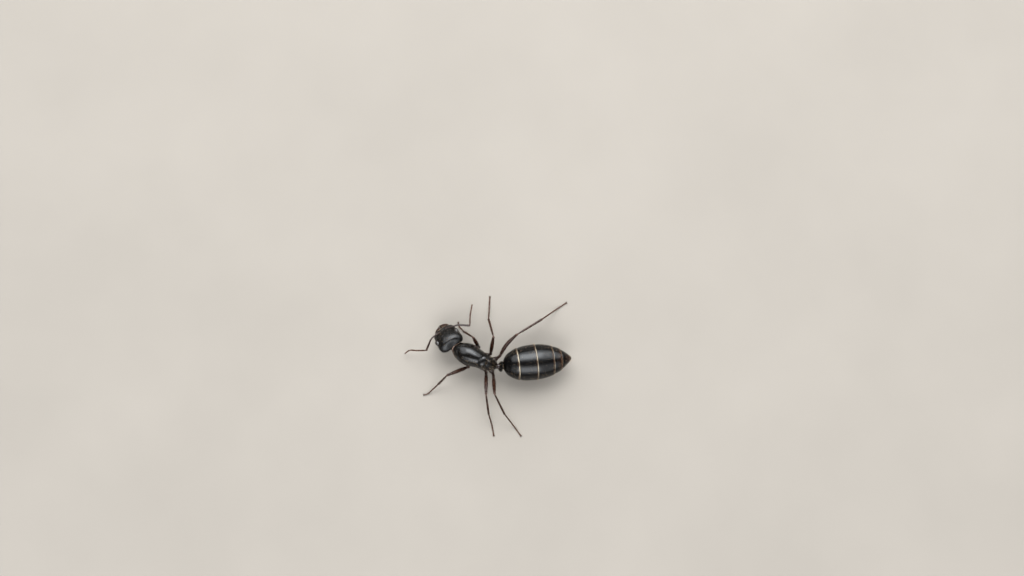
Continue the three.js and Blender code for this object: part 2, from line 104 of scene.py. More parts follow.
class Place:
    """A local frame: to_world and back, for points as rows."""

    def __init__(self, at, yaw, pitch):
        self.r = turn(yaw, pitch)
        self.t = np.array([at[0] + CENTRE[0], at[1] + CENTRE[1], at[2]])

    def out(self, p):
        return np.asarray(p, float) @ self.r.T + self.t

    def back(self, p):
        return (np.asarray(p, float) - self.t) @ self.r

    def turn(self, v):
        return np.asarray(v, float) @ self.r.T


def curve(keys):
    """A smooth curve through [place, size] keys that never swings past a key."""
    x = np.array([k[0] for k in keys], float)
    v = np.array([k[1] for k in keys], float)
    s = np.diff(v) / np.diff(x)
    m = np.empty(len(x))
    m[0], m[-1] = s[0], s[-1]
    both = s[:-1] * s[1:]
    total = np.where(np.abs(s[:-1] + s[1:]) < 1e-12, 1, s[:-1] + s[1:])
    m[1:-1] = np.where(both > 0, 2 * both / total, 0)

    def f(at):
        t = np.clip(at, x[0], x[-1])
        i = np.clip(np.searchsorted(x, t, "right") - 1, 0, len(x) - 2)
        h = x[i + 1] - x[i]
        u = (t - x[i]) / h
        return (
            v[i] * (1 + 2 * u) * (1 - u) ** 2
            + h * m[i] * u * (1 - u) ** 2
            + v[i + 1] * u * u * (3 - 2 * u)
            + h * m[i + 1] * u * u * (u - 1)
        )

    return f


def spline(points, n):
    """n points evenly along a Catmull-Rom curve through the given ones."""
    p = np.asarray(points, float)
    p = np.vstack([2 * p[0] - p[1], p, 2 * p[-1] - p[-2]])
    out = []
    for i in range(1, len(p) - 2):
        t = np.linspace(0, 1, 25)[:-1, None]
        a, b, c, d = p[i - 1], p[i], p[i + 1], p[i + 2]
        out.append(0.5 * (2 * b + (c - a) * t + (2 * a - 5 * b + 4 * c - d) * t**2 + (3 * b - a - 3 * c + d) * t**3))
    out.append(p[-2][None])
    q = np.vstack(out)
    s = np.r_[0, np.cumsum(np.linalg.norm(np.diff(q, axis=0), axis=1))]
    at = np.linspace(0, s[-1], n)
    return np.stack([np.interp(at, s, q[:, k]) for k in range(q.shape[1])], 1)


# ------------------------------------------------------------------ profiles
class Shape:
    """Half width, middle height and half height of a body whose middle line runs along y.
    The squares of the radii are blurred a little, so that reflections run over it without
    a kink, and run on past both ends to nothing, which rounds them."""

    def __init__(self, half, top, bottom, square, soft=0.1, caps=(0.1, 0.1), scale=1.0):
        key = lambda ks: curve([(k[0] * scale, k[1]) for k in ks])
        lo, hi = half[0][0] * scale, half[-1][0] * scale
        step = 0.004
        pad = max(caps) + 6 * soft
        y = np.arange(lo - pad, hi + pad + step, step)
        w, t, b = key(half)(y), key(top)(y), key(bottom)(y)
        r = int(4 * soft / step) + 1
        k = np.exp(-0.5 * (np.arange(-r, r + 1) * step / soft) ** 2)
        k /= k.sum()

        def blur(q):
            return np.convolve(np.pad(q, r, mode="edge"), k, "valid")

        fade = np.where(y < lo, 1 - (lo - y) / caps[0], np.where(y > hi, 1 - (y - hi) / caps[1], 1.0))
        self.y = y
        self.w2 = blur(w * w * fade)
        self.h2 = blur(((t + b) / 2) ** 2 * fade)
        self.c = blur((t - b) / 2)
        self.square = square
        alive = np.flatnonzero(self.w2 > 1e-5)
        self.lo, self.hi = y[alive[0]], y[alive[-1]]

    def __call__(self, y):
        g = lambda q: np.interp(y, self.y, q)
        return np.sqrt(np.maximum(g(self.w2), 1e-8)), np.sqrt(np.maximum(g(self.h2), 1e-8)), g(self.c)

    def rows(self, y0, y1, n, bias=1.0):
        """n stations from y0 to y1, evenly along the outline."""
        y = np.linspace(y0, y1, 1500)
        w, h, c = self(y)
        d = np.sqrt(np.diff(y) ** 2 + bias * np.maximum(np.abs(np.diff(w)), np.maximum(np.abs(np.diff(h + c)), np.abs(np.diff(h - c)))) ** 2)
        s = np.r_[0, np.cumsum(d)]
        return np.interp(np.linspace(0, s[-1], n), s, y)


class Skin:
    """A shape in its place, with relief: at() gives points on it, raised or sunk."""

    def __init__(self, shape, place, relief=None, warp=None):
        self.shape, self.place, self.relief, self.warp = shape, place, relief, warp

    def base(self, a, y):
        w, h, c = self.shape(y)
        n = self.shape.square
        ca, sa = np.cos(a), np.sin(a)
        q = (np.abs(ca) ** n + np.abs(sa) ** n) ** (-1 / n)
        p = np.stack([w * q * ca, y + 0 * a, c + h * q * sa], -1)
        return self.warp(p) if self.warp else p

    def normal(self, a, y, e=2.5e-3):
        da = self.base(a + e, y) - self.base(a - e, y)
        dy = self.base(a, y + e) - self.base(a, y - e)
        n = np.cross(dy, da)
        flat = np.linalg.norm(n, axis=-1) < 1e-9
        n[flat] = [0, 1, 0]
        return unit(n)

    def local(self, a, y, depth=0.0):
        a, y = np.broadcast_arrays(np.asarray(a, float), np.asarray(y, float))
        p, n = self.base(a, y), self.normal(a, y)
        d = -np.asarray(depth, float) * np.ones(a.shape)
        if self.relief:
            d = d + self.relief(p, n, a, y)
        return p + n * d[..., None], n

    def at(self, a, y, depth=0.0):
        p, n = self.local(a, y, depth)
        return self.place.out(p), self.place.turn(n)

    def angle(self, x, y, side="top"):
        """The angle at which the section at y passes x, on its upper or lower side, or
        passes height x on its left or right side."""
        span = dict(top=(0, PI), bottom=(PI, 2 * PI), left=(-PI / 2, PI / 2), right=(PI / 2, 1.5 * PI))[side]
        a = np.linspace(*span, 721)
        x, y = np.broadcast_arrays(np.asarray(x, float), np.asarray(y, float))
        out = np.empty(x.shape)
        k = 0 if side in ("top", "bottom") else 2
        for i in np.ndindex(x.shape):
            v = self.base(a, np.full(a.shape, y[i]))[:, k]
            o = np.argsort(v)
            out[i] = np.interp(x[i], v[o], a[o])
        return out

    def trace(self, points, side="top", n=48):
        """Points on the bare shape under a plan curve of (x, y), or a side one of (z, y)."""
        p = spline(points, n)
        return self.base(self.angle(p[:, 0], p[:, 1], side), p[:, 1])


def near(p, line, normal=None):
    """Distance from each point to a polyline, the share of the line at the nearest place,
    and, with normals, the signed distance to its left."""
    shape = p.shape[:-1]
    q = p.reshape(-1, 3)
    a, b = line[:-1], line[1:]
    ab = b - a
    size = np.maximum((ab**2).sum(1), 1e-18)
    best = np.full(len(q), 1e9)
    share = np.zeros(len(q))
    sign = np.zeros(len(q))
    lo, hi = line.min(0) - 0.5, line.max(0) + 0.5
    close = np.flatnonzero(((q > lo) & (q < hi)).all(1))
    for part in np.array_split(close, max(1, len(close) // 20000)):
        if not len(part):
            continue
        ap = q[part][:, None, :] - a[None]
        t = np.clip((ap * ab[None]).sum(-1) / size[None], 0, 1)
        off = ap - t[..., None] * ab[None]
        d = np.sqrt((off**2).sum(-1))
        k = d.argmin(1)
        i = np.arange(len(part))
        best[part] = d[i, k]
        share[part] = (k + t[i, k]) / len(a)
        if normal is not None:
            n = normal.reshape(-1, 3)[part]
            left = np.cross(n, unit(ab[k]))
            sign[part] = (off[i, k] * left).sum(-1)
    return best.reshape(shape), share.reshape(shape), sign.reshape(shape)


def ends(share, lead=0.12):
    return ramp(share, 0, lead) * ramp(1 - share, 0, lead)


def mirror(line):
    return line * np.array([-1, 1, 1])


def inside_polygon(x, y, poly):
    """Signed distance to a closed plan outline, positive inside."""
    p = np.stack([x, y], -1).reshape(-1, 2)
    a = poly
    b = np.roll(poly, -1, 0)
    ab = b - a
    best = np.full(len(p), 1e9)
    odd = np.zeros(len(p), bool)
    for i in range(len(a)):
        ap = p - a[i]
        t = np.clip((ap @ ab[i]) / max(ab[i] @ ab[i], 1e-18), 0, 1)
        best = np.minimum(best, np.linalg.norm(ap - t[:, None] * ab[i], axis=1))
        cross = (a[i, 1] > p[:, 1]) != (b[i, 1] > p[:, 1])
        if abs(ab[i, 1]) > 1e-12:
            at = a[i, 0] + (p[:, 1] - a[i, 1]) / ab[i, 1] * ab[i, 0]
            odd ^= cross & (p[:, 0] < at)
    return np.where(odd, best, -best).reshape(x.shape)


# ------------------------------------------------------------------ meshes
class Part:
    """Points, four- and three-cornered faces with a map, and numbers held per point."""

    def __init__(self, v, quads, quv, tris, tuv, attrs=None, mat=0):
        self.v, self.quads, self.quv, self.tris, self.tuv = v, quads, quv, tris, tuv
        self.attrs = attrs or {}
        self.mat = mat

    def outward(self):
        c = self.v - self.v.mean(0)
        vol = 0.0
        for f in (self.quads[:, [0, 1, 2]], self.quads[:, [0, 2, 3]], self.tris):
            if len(f):
                vol += np.einsum("ij,ij->", c[f[:, 0]], np.cross(c[f[:, 1]], c[f[:, 2]]))
        if vol < 0:
            self.quads, self.quv = self.quads[:, ::-1], self.quv[:, ::-1]
            self.tris, self.tuv = self.tris[:, ::-1], self.tuv[:, ::-1]
        return self


def grid(p, wrap=True, cap0=None, cap1=None, attrs=None, mat=0):
    """A sheet of points as a surface: rows along it, columns round it. cap0 and cap1 are
    points that close its two ends."""
    r, c = p.shape[:2]
    cols = c if wrap else c - 1
    idx = np.arange(r * c).reshape(r, c)
    nxt = np.roll(idx, -1, 1) if wrap else idx[:, 1:]
    here = idx if wrap else idx[:, :-1]
    quads = np.stack([here[:-1], here[1:], nxt[1:], nxt[:-1]], -1).reshape(-1, 4)
    mid = p[:, :: max(1, c // 12)]
    s = np.r_[0, np.cumsum(np.linalg.norm(np.diff(mid, axis=0), axis=-1).mean(1) + 1e-6)]
    v = 0.02 + 0.96 * s / s[-1]
    u = np.arange(cols + 1) / cols
    uu, vv = np.meshgrid(u, v)
    uv = np.stack([uu, vv], -1)
    quv = np.stack([uv[:-1, :-1], uv[1:, :-1], uv[1:, 1:], uv[:-1, 1:]], -2).reshape(-1, 4, 2)
    verts = [p.reshape(-1, 3)]
    tris, tuv = [], []
    n = r * c
    extra = {k: [np.asarray(a, float).reshape(-1)] for k, a in (attrs or {}).items()}
    for cap, row, end in ((cap0, 0, 0.0), (cap1, r - 1, 1.0)):
        if cap is None:
            continue
        verts.append(np.asarray(cap, float)[None])
        t = np.stack([here[row], nxt[row], np.full(cols, n)], -1)
        m = np.stack([uv[row, :-1], uv[row, 1:], np.stack([(u[:-1] + u[1:]) / 2, np.full(cols, end)], -1)], -2)
        if row:
            t, m = t[:, [1, 0, 2]], m[:, [1, 0, 2]]
        tris.append(t)
        tuv.append(m)
        n += 1
        for k in extra:
            extra[k].append(extra[k][0].reshape(r, c)[row].mean(keepdims=True))
    return Part(
        np.vstack(verts),
        quads,
        quv,
        np.vstack(tris) if tris else np.zeros((0, 3), int),
        np.vstack(tuv) if tuv else np.zeros((0, 3, 2)),
        {k: np.concatenate(a) for k, a in extra.items()},
        mat,
    ).outward()


def pieces_map(parts):
    """Lays the maps of several parts beside each other in the unit square."""
    n = len(parts)
    if n == 1:
        return
    k = math.ceil(math.sqrt(n))
    rows = math.ceil(n / k)
    for i, p in enumerate(parts):
        at = np.array([(i % k) / k, (i // k) / rows])
        size = np.array([1 / k, 1 / rows])
        for m in (p.quv, p.tuv):
            m[...] = at + size * (0.03 + 0.94 * m)


def piece(name, parts, materials, replaces=(), packed=False):
    """Joins parts into one Blender object in metres that rides on the model's body."""
    parts = [p for p in parts if p is not None]
    if not packed:
        for p in parts:
            p.quv, p.tuv = p.quv.copy(), p.tuv.copy()
        pieces_map(parts)
    v = np.vstack([p.v for p in parts]) * MM
    shift = np.cumsum([0] + [len(p.v) for p in parts])
    loops, sizes, uvs, mats = [], [], [], []
    for p, s in zip(parts, shift):
        for f, m, k in ((p.quads, p.quv, 4), (p.tris, p.tuv, 3)):
            if len(f):
                loops.append((f + s).ravel())
                sizes.append(np.full(len(f), k))
                uvs.append(m.reshape(-1, 2))
                mats.append(np.full(len(f), p.mat))
    loops, sizes, uvs = np.concatenate(loops), np.concatenate(sizes), np.vstack(uvs)
    me = bpy.data.meshes.new(name)
    me.vertices.add(len(v))
    me.vertices.foreach_set("co", v.astype(np.float32).ravel())
    me.loops.add(len(loops))
    me.loops.foreach_set("vertex_index", loops.astype(np.int32))
    me.polygons.add(len(sizes))
    me.polygons.foreach_set("loop_start", np.r_[0, np.cumsum(sizes)[:-1]].astype(np.int32))
    me.update(calc_edges=True)
    me.polygons.foreach_set("use_smooth", np.ones(len(sizes), bool))
    me.polygons.foreach_set("material_index", np.concatenate(mats).astype(np.int32))
    layer = me.uv_layers.new(name="OFBake")
    layer.uv.foreach_set("vector", uvs.astype(np.float32).ravel())
    for k in sorted({k for p in parts for k in p.attrs}):
        data = np.concatenate([p.attrs.get(k, np.zeros(len(p.v))) for p in parts])
        me.attributes.new(k, "FLOAT", "POINT").data.foreach_set("value", data.astype(np.float32))
    for m in materials if isinstance(materials, (list, tuple)) else [materials]:
        me.materials.append(m)
    me.update()
    o = bpy.data.objects.new(name, me)
    bpy.context.scene.collection.objects.link(o)
    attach(o, "root")
    if replaces:
        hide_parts(*replaces)
    return o


# ------------------------------------------------------------------ plates
def shell(skin, start, stop, columns, rows, roll=(0.05, 0.05), deep=(0.3, 0.3), attrs=None, focus=None, lift=None, mat=0):
    """A plate of a body between two edges, each a station or a function of the angle. Its
    edges are rolled inwards, and it is closed inside, so that it is a solid."""
    a = np.linspace(0, 2 * PI, columns, endpoint=False)
    if focus is not None:
        a = focus(a)
    edge = lambda e: e(a) if callable(e) else np.full(len(a), float(e))
    y0, y1 = edge(start), edge(stop)
    w, h, c = skin.shape(np.array([y0.mean(), y1.mean()]))
    stations = []  # (share of the way, shift along y, depth)
    r0, r1 = roll
    for d in np.linspace(deep[0], r0, 4)[:-1]:
        stations.append((0.0, 0.004 + 0.02 * (d - r0), d))
    for f in np.linspace(0, PI / 2, 7):
        stations.append((0.0, r0 * (1 - math.cos(f)), r0 * (1 - math.sin(f))))
    ts = skin.shape.rows(y0.mean() + r0, y1.mean() - r1, rows)
    ts = (ts - ts[0]) / (ts[-1] - ts[0])
    body = [(t, r0 * (1 - t) - r1 * t, 0.0) for t in ts[1:-1]]
    stations += body
    for f in np.linspace(PI / 2, 0, 7):
        stations.append((1.0, -r1 * (1 - math.cos(f)), r1 * (1 - math.sin(f))))
    for d in np.linspace(r1, deep[1], 4)[1:]:
        stations.append((1.0, -0.004 - 0.02 * (d - r1), d))
    t, dy, depth = (np.array(x)[:, None] for x in zip(*stations))
    y = y0 + (y1 - y0) * t + dy
    aa = np.broadcast_to(a, y.shape)
    dd = np.broadcast_to(depth, y.shape)
    if lift is not None:
        dd = dd - lift(t + 0 * aa, aa, y) * (dd < 0.4)
    p, n = skin.at(aa, y, dd)
    held = {k: f(aa, y, t + 0 * aa, np.broadcast_to(depth, y.shape)) for k, f in (attrs or {}).items()}
    return grid(p, True, p[0].mean(0), p[-1].mean(0), held, mat)


def closed(skin, columns, rows, attrs=None, mat=0, focus=None):
    """A whole body from pole to pole."""
    a = np.linspace(0, 2 * PI, columns, endpoint=False)
    if focus is not None:
        a = focus(a)
    s = skin.shape
    y = s.rows(s.lo + 0.003, s.hi - 0.003, rows)
    aa, yy = np.meshgrid(a, y)
    p, n = skin.at(aa, yy)
    held = {k: f(aa, yy) for k, f in (attrs or {}).items()}
    return grid(p, True, p[0].mean(0), p[-1].mean(0), held, mat)


def fan(amount, at, width):
    """Crowds columns round an angle."""

    def f(a):
        w = 1 + sum(amount * np.exp(-((((a - x + PI) % (2 * PI)) - PI) / width) ** 2) for x in at)
        fine = np.linspace(0, 2 * PI, 4001)
        d = 1 + sum(amount * np.exp(-((((fine - x + PI) % (2 * PI)) - PI) / width) ** 2) for x in at)
        s = np.r_[0, np.cumsum((d[1:] + d[:-1]) / 2)]
        return np.interp(np.linspace(0, s[-1], len(a), endpoint=False), s, fine) + 0 * w

    return f


# ------------------------------------------------------------------ tubes
class Route:
    """Straight runs with rounded corners. mark[i] is where corner i is half turned."""

    def __init__(self, points, radii):
        pts = [np.asarray(p, float) for p in points]
        self.runs, self.mark, self.length = [], {}, 0.0
        start = pts[0]
        for i in range(1, len(pts)):
            if i == len(pts) - 1:
                d = unit(pts[i] - start)
                self._add("line", float(np.linalg.norm(pts[i] - start)), (start, d))
                break
            d1, d2 = unit(pts[i] - pts[i - 1]), unit(pts[i + 1] - pts[i])
            w = math.acos(float(np.clip(d1 @ d2, -1, 1)))
            room = 0.48 * min(np.linalg.norm(pts[i] - pts[i - 1]), np.linalg.norm(pts[i + 1] - pts[i]))
            back = min(radii[i - 1] * math.tan(w / 2), room)
            radius = back / math.tan(w / 2)
            begin = pts[i] - d1 * back
            self._add("line", float(np.linalg.norm(begin - start)), (start, d1))
            self.mark[i] = self.length + radius * w / 2
            self._add("arc", radius * w, (begin, d1, unit(d2 - d1 * (d1 @ d2)), radius))
            start = pts[i] + d2 * back

    def _add(self, kind, size, how):
        self.runs.append((kind, self.length, size, how))
        self.length += size

    def __call__(self, s):
        s = np.asarray(s, float)
        p, t = np.zeros(s.shape + (3,)), np.zeros(s.shape + (3,))
        for i, (kind, begin, size, how) in enumerate(self.runs):
            last = i == len(self.runs) - 1
            here = ((s >= begin) | (i == 0)) & ((s < begin + size) | last)
            x = (s[here] - begin)[:, None]
            if kind == "line":
                p[here], t[here] = how[0] + how[1] * x, how[1]
            else:
                w = x / how[3]
                p[here] = how[0] + how[1] * how[3] * np.sin(w) + how[2] * how[3] * (1 - np.cos(w))
                t[here] = how[1] * np.cos(w) + how[2] * np.sin(w)
        return p, unit(t)


class Line:
    """A free smooth curve as a route."""

    def __init__(self, points, n=200):
        self.q = spline(points, n)
        self.s = np.r_[0, np.cumsum(np.linalg.norm(np.diff(self.q, axis=0), axis=1))]
        self.length = float(self.s[-1])

    def __call__(self, s):
        s = np.asarray(s, float)
        x = np.clip(s, 0, self.length)
        f = lambda v: np.stack([np.interp(v, self.s, self.q[:, k]) for k in range(3)], -1)
        e = self.length * 0.012 + 1e-6
        t = unit(f(np.minimum(x + e, self.length)) - f(np.maximum(x - e, 0)))
        return f(x) + t * (s - x)[..., None], t


class Limb:
    """A tube along part of a route. wide and deep are functions of the share along it."""

    def __init__(self, path, s0, s1, wide, deep, side):
        self.path, self.s0, self.s1, self.wide, self.deep = path, s0, s1, wide, deep
        self.side = np.asarray(side, float)

    def frame(self, s):
        p, t = self.path(s)
        across = unit(self.side - t * (t @ self.side)[..., None])
        return p, t, across, np.cross(t, across)

    def at(self, u, a):
        u, a = np.broadcast_arrays(np.asarray(u, float), np.asarray(a, float))
        s = self.s0 + (self.s1 - self.s0) * u
        p, t, across, up = self.frame(s)
        w, d = self.wide(u)[..., None], self.deep(u)[..., None]
        ca, sa = np.cos(a)[..., None], np.sin(a)[..., None]
        return p + across * w * ca + up * d * sa, unit(across * ca / np.maximum(w, 1e-4) + up * sa / np.maximum(d, 1e-4)), t

    def part(self, rows, sides, attrs=None, floor=None, mat=0, press=0.0):
        f = np.linspace(0, 1, rows)
        f = f - press * np.sin(2 * PI * f) / (2 * PI)
        a = np.linspace(0, 2 * PI, sides, endpoint=False)
        aa, uu = np.meshgrid(a, f)
        p, n, t = self.at(uu, aa)
        if floor is not None:
            p[..., 2] = np.maximum(p[..., 2], floor)
        held = {k: g(uu, aa) for k, g in (attrs or {}).items()}
        return grid(p, True, p[0].mean(0), p[-1].mean(0), held, mat)


def knuckled(size, length, start=0.6, end=1.0, lead=0.5, tail=0.25, swell=0.0, peak=0.45, power=1.0, close=0.5):
    """Radius along a limb segment: a narrow head at its near end, a shaft, and a socket
    end. lead, tail and close are lengths in units of the radius."""
    la, lb, lc = lead * size / length, tail * size / length, close * size / length

    def f(u):
        shaft = 1 + swell * np.clip(np.sin(PI * np.clip(u, 0, 1) ** (math.log(0.5) / math.log(peak))), 0, 1) ** power
        near_end = start + (1 - start) * ramp(u, 0.3 * la, 2.2 * la)
        far_end = 1 + (end - 1) * ramp(u, 1 - 4 * lb, 1 - lb)
        tip0 = np.sqrt(np.clip(1 - ((lc - u) / lc).clip(0, 1) ** 2, 0.02, 1))
        tip1 = np.sqrt(np.clip(1 - ((u - 1 + lc) / lc).clip(0, 1) ** 2, 0.02, 1))
        return size * shaft * near_end * far_end * tip0 * tip1

    return f


def horn(points, radius, sides=8, rows=14, side=(0, 0, 1), attrs=None, mat=0, taper=1.0, flat=1.0):
    """A curved spike, round at its root and sharp at its tip."""
    path = Line(points)
    r = lambda u: radius * (1 - u**1.6 * taper * 0.97) * np.sqrt(np.clip(u / 0.06, 0.05, 1))
    return Limb(path, 0, path.length, r, lambda u: r(u) * flat, side).part(rows, sides, attrs, mat=mat)


def ball(centre, radii, rot=None, rows=24, cols=36, attrs=None, mat=0, square=2.0, lump=None):
    """A rounded knob; lump(d) scales it by direction."""
    f = np.linspace(0, PI, rows + 2)[1:-1]
    a = np.linspace(0, 2 * PI, cols, endpoint=False)
    aa, ff = np.meshgrid(a, f)
    d = np.stack([np.sin(ff) * np.cos(aa), -np.cos(ff), np.sin(ff) * np.sin(aa)], -1)
    q = (np.abs(d) ** square).sum(-1, keepdims=True) ** (-1 / square)
    p = d * q * np.asarray(radii, float)
    if lump is not None:
        p = p * lump(d)[..., None]
    if rot is not None:
        p = p @ np.asarray(rot).T
    p = p + np.asarray(centre, float)
    held = {k: g(d) for k, g in (attrs or {}).items()}
    return grid(p, True, p[0].mean(0), p[-1].mean(0), held, mat)


# ------------------------------------------------------------------ hairs
def hairs(root, normal, lie, length, thick, lean, curl, uv, rings=4, sides=3, tone=None, mat=0):
    """Tapering bristles, one mesh. lie is the way each leans, lean its angle off the
    normal at the root and curl how much more it leans at the tip, in radians."""
    n = len(root)
    if not n:
        return None
    one = lambda x: np.broadcast_to(np.asarray(x, float), (n,))
    length, thick, lean, curl = map(one, (length, thick, lean, curl))
    normal = unit(normal)
    lie = unit(lie - normal * (lie * normal).sum(-1, keepdims=True) + 1e-9)
    side = np.cross(normal, lie)
    t = np.linspace(0, 1, rings + 1)
    p = root - normal * 0.012
    rows = []
    phi = rng.uniform(0, 2 * PI, n)
    for i, u in enumerate(t):
        if i:
            mid = lean + curl * (t[i] + t[i - 1]) / 2
            p = p + (normal * np.cos(mid)[:, None] + lie * np.sin(mid)[:, None]) * (length * (t[i] - t[i - 1]))[:, None]
        if i == rings:
            rows.append(p[:, None])
            break
        w = lean + curl * u
        other = -normal * np.sin(w)[:, None] + lie * np.cos(w)[:, None]
        r = thick * (1 - u) ** 0.55
        ang = phi[:, None] + np.arange(sides) * 2 * PI / sides
        rows.append(p[:, None] + (side[:, None] * np.cos(ang)[..., None] + other[:, None] * np.sin(ang)[..., None]) * r[:, None, None])
    v = np.concatenate(rows, 1)
    v[..., 2] = np.maximum(v[..., 2], 0.003)
    per = v.shape[1]
    base = (np.arange(n) * per)[:, None]
    q, qm, tr, tm = [], [], [], []
    e = 0.003
    spot = lambda j, u: np.stack([uv[:, 0] + e * (j / sides - 0.5), uv[:, 1] + e * (u - 0.5)], -1)
    for i in range(rings - 1):
        for j in range(sides):
            k = (j + 1) % sides
            q.append(np.hstack([base + i * sides + j, base + i * sides + k, base + (i + 1) * sides + k, base + (i + 1) * sides + j]))
            qm.append(np.stack([spot(j, t[i]), spot(j + 1, t[i]), spot(j + 1, t[i + 1]), spot(j, t[i + 1])], 1))
    for j in range(sides):
        k = (j + 1) % sides
        i = rings - 1
        tr.append(np.hstack([base + i * sides + j, base + i * sides + k, base + per - 1]))
        tm.append(np.stack([spot(j, t[i]), spot(j + 1, t[i]), spot(j + 0.5, 1.0)], 1))
    tone = np.repeat(one(0.5 if tone is None else tone), per)
    along = np.tile(np.r_[np.repeat(t[:-1], sides), 1.0], n)
    part = Part(v.reshape(-1, 3), np.vstack(q), np.vstack(qm), np.vstack(tr), np.vstack(tm), dict(tone=tone, along=along), mat)
    # Faces are wound outwards for this handedness of side, other and growth.
    f = part.quads[0]
    c = v[0, : sides * 2].mean(0)
    if np.dot(np.cross(part.v[f[1]] - part.v[f[0]], part.v[f[2]] - part.v[f[0]]), part.v[f].mean(0) - c) < 0:
        part.quads, part.quv = part.quads[:, ::-1], part.quv[:, ::-1]
        part.tris, part.tuv = part.tris[:, ::-1], part.tuv[:, ::-1]
    return part


def scatter(skin, n, y0, y1, keep=None, seed=0, a0=0.0, a1=2 * PI):
    """n places on a skin, evenly by area between two stations."""
    g = np.random.default_rng(seed)
    a, y = g.uniform(a0, a1, n * 8), g.uniform(y0, y1, n * 8)
    e = 2e-3
    area = np.linalg.norm(np.cross(skin.base(a + e, y) - skin.base(a - e, y), skin.base(a, y + e) - skin.base(a, y - e)), axis=-1)
    ok = g.uniform(0, np.quantile(area, 0.98), len(a)) < area
    if keep is not None:
        ok &= g.uniform(0, 1, len(a)) < keep(skin.base(a, y), a, y)
    a, y = a[ok][:n], y[ok][:n]
    return a, y


def coat_on(skin, a, y, length, thick, lean, curl, tone, uvbox=(0, 0, 1, 1), back=1.0, wild=0.35, seed=0, sides=3, rings=4, span=None):
    """Hairs at places on a skin, leaning towards the hind end."""
    g = np.random.default_rng(seed)
    p, n = skin.at(a, y)
    e = 3e-3
    dy = skin.place.turn(skin.base(a, y + e) - skin.base(a, y - e))
    da = skin.place.turn(skin.base(a + e, y) - skin.base(a - e, y))
    lie = unit(dy) * back + unit(da) * g.normal(0, wild, len(a))[:, None]
    k = len(a)
    lo, hi = span or (skin.shape.lo, skin.shape.hi)
    u, v = (a % (2 * PI)) / (2 * PI), (y - lo) / (hi - lo)
    uv = np.stack([uvbox[0] + (uvbox[2] - uvbox[0]) * (0.01 + 0.98 * u), uvbox[1] + (uvbox[3] - uvbox[1]) * (0.01 + 0.98 * v)], -1)
    r = lambda c, s: c * (1 + g.uniform(-s, s, k))
    return hairs(p, n, lie, r(length, 0.3), r(thick, 0.15), r(lean, 0.25), r(curl, 0.4), uv, rings=rings, sides=sides, tone=tone * np.ones(k))


# ================================================================== materials
def material(name):
    m = bpy.data.materials.new(name)
    m.use_nodes = True
    nt = m.node_tree
    return m, nt, nt.nodes["Principled BSDF"]


class Nodes:
    """Short names for the shader nodes used here."""

    def __init__(self, nt):
        self.nt = nt

    def add(self, kind, **values):
        n = self.nt.nodes.new(kind)
        for k, v in values.items():
            setattr(n, k, v)
        return n

    def link(self, a, b):
        self.nt.links.new(a, b)

    def place(self, stretch=(1, 1, 1), yaw=0.0):
        """Coordinates in millimetres, turned so that y runs along a body part."""
        c = self.add("ShaderNodeTexCoord")
        m = self.add("ShaderNodeMapping")
        m.inputs["Rotation"].default_value = (0, 0, math.radians(-yaw))
        m.inputs["Scale"].default_value = tuple(1000 * s for s in stretch)
        self.link(c.outputs["Object"], m.inputs["Vector"])
        return m.outputs["Vector"]

    def noise(self, vector, scale, detail=3, rough=0.55, distortion=0.0):
        n = self.add("ShaderNodeTexNoise")
        n.inputs["Scale"].default_value = scale
        n.inputs["Detail"].default_value = detail
        n.inputs["Roughness"].default_value = rough
        n.inputs["Distortion"].default_value = distortion
        self.link(vector, n.inputs["Vector"])
        return n.outputs["Fac"]

    def cells(self, vector, scale, feature="DISTANCE_TO_EDGE"):
        n = self.add("ShaderNodeTexVoronoi", feature=feature)
        n.inputs["Scale"].default_value = scale
        self.link(vector, n.inputs["Vector"])
        return n.outputs["Distance"]

    def held(self, name):
        return self.add("ShaderNodeAttribute", attribute_name=name).outputs["Fac"]

    def span(self, value, a, b, c=0.0, d=1.0):
        n = self.add("ShaderNodeMapRange")
        for i, x in zip(("From Min", "From Max", "To Min", "To Max"), (a, b, c, d)):
            n.inputs[i].default_value = x
        self.link(value, n.inputs["Value"])
        return n.outputs["Result"]

    def math(self, op, a, b=None):
        n = self.add("ShaderNodeMath", operation=op)
        for i, x in enumerate((a, b)):
            if x is None:
                continue
            if isinstance(x, (int, float)):
                n.inputs[i].default_value = x
            else:
                self.link(x, n.inputs[i])
        return n.outputs[0]

    def mix(self, share, a, b):
        n = self.add("ShaderNodeMix", data_type="RGBA")
        for i, x in ((0, share), (6, a), (7, b)):
            if isinstance(x, tuple):
                n.inputs[i].default_value = (*x, 1)
            elif isinstance(x, (int, float)):
                n.inputs[i].default_value = x
            else:
                self.link(x, n.inputs[i])
        return n.outputs[2]

    def bump(self, height, distance, strength=1.0, normal=None):
        n = self.add("ShaderNodeBump")
        n.inputs["Strength"].default_value = strength
        n.inputs["Distance"].default_value = distance * MM
        self.link(height, n.inputs["Height"])
        if normal is not None:
            self.link(normal, n.inputs["Normal"])
        return n.outputs["Normal"]


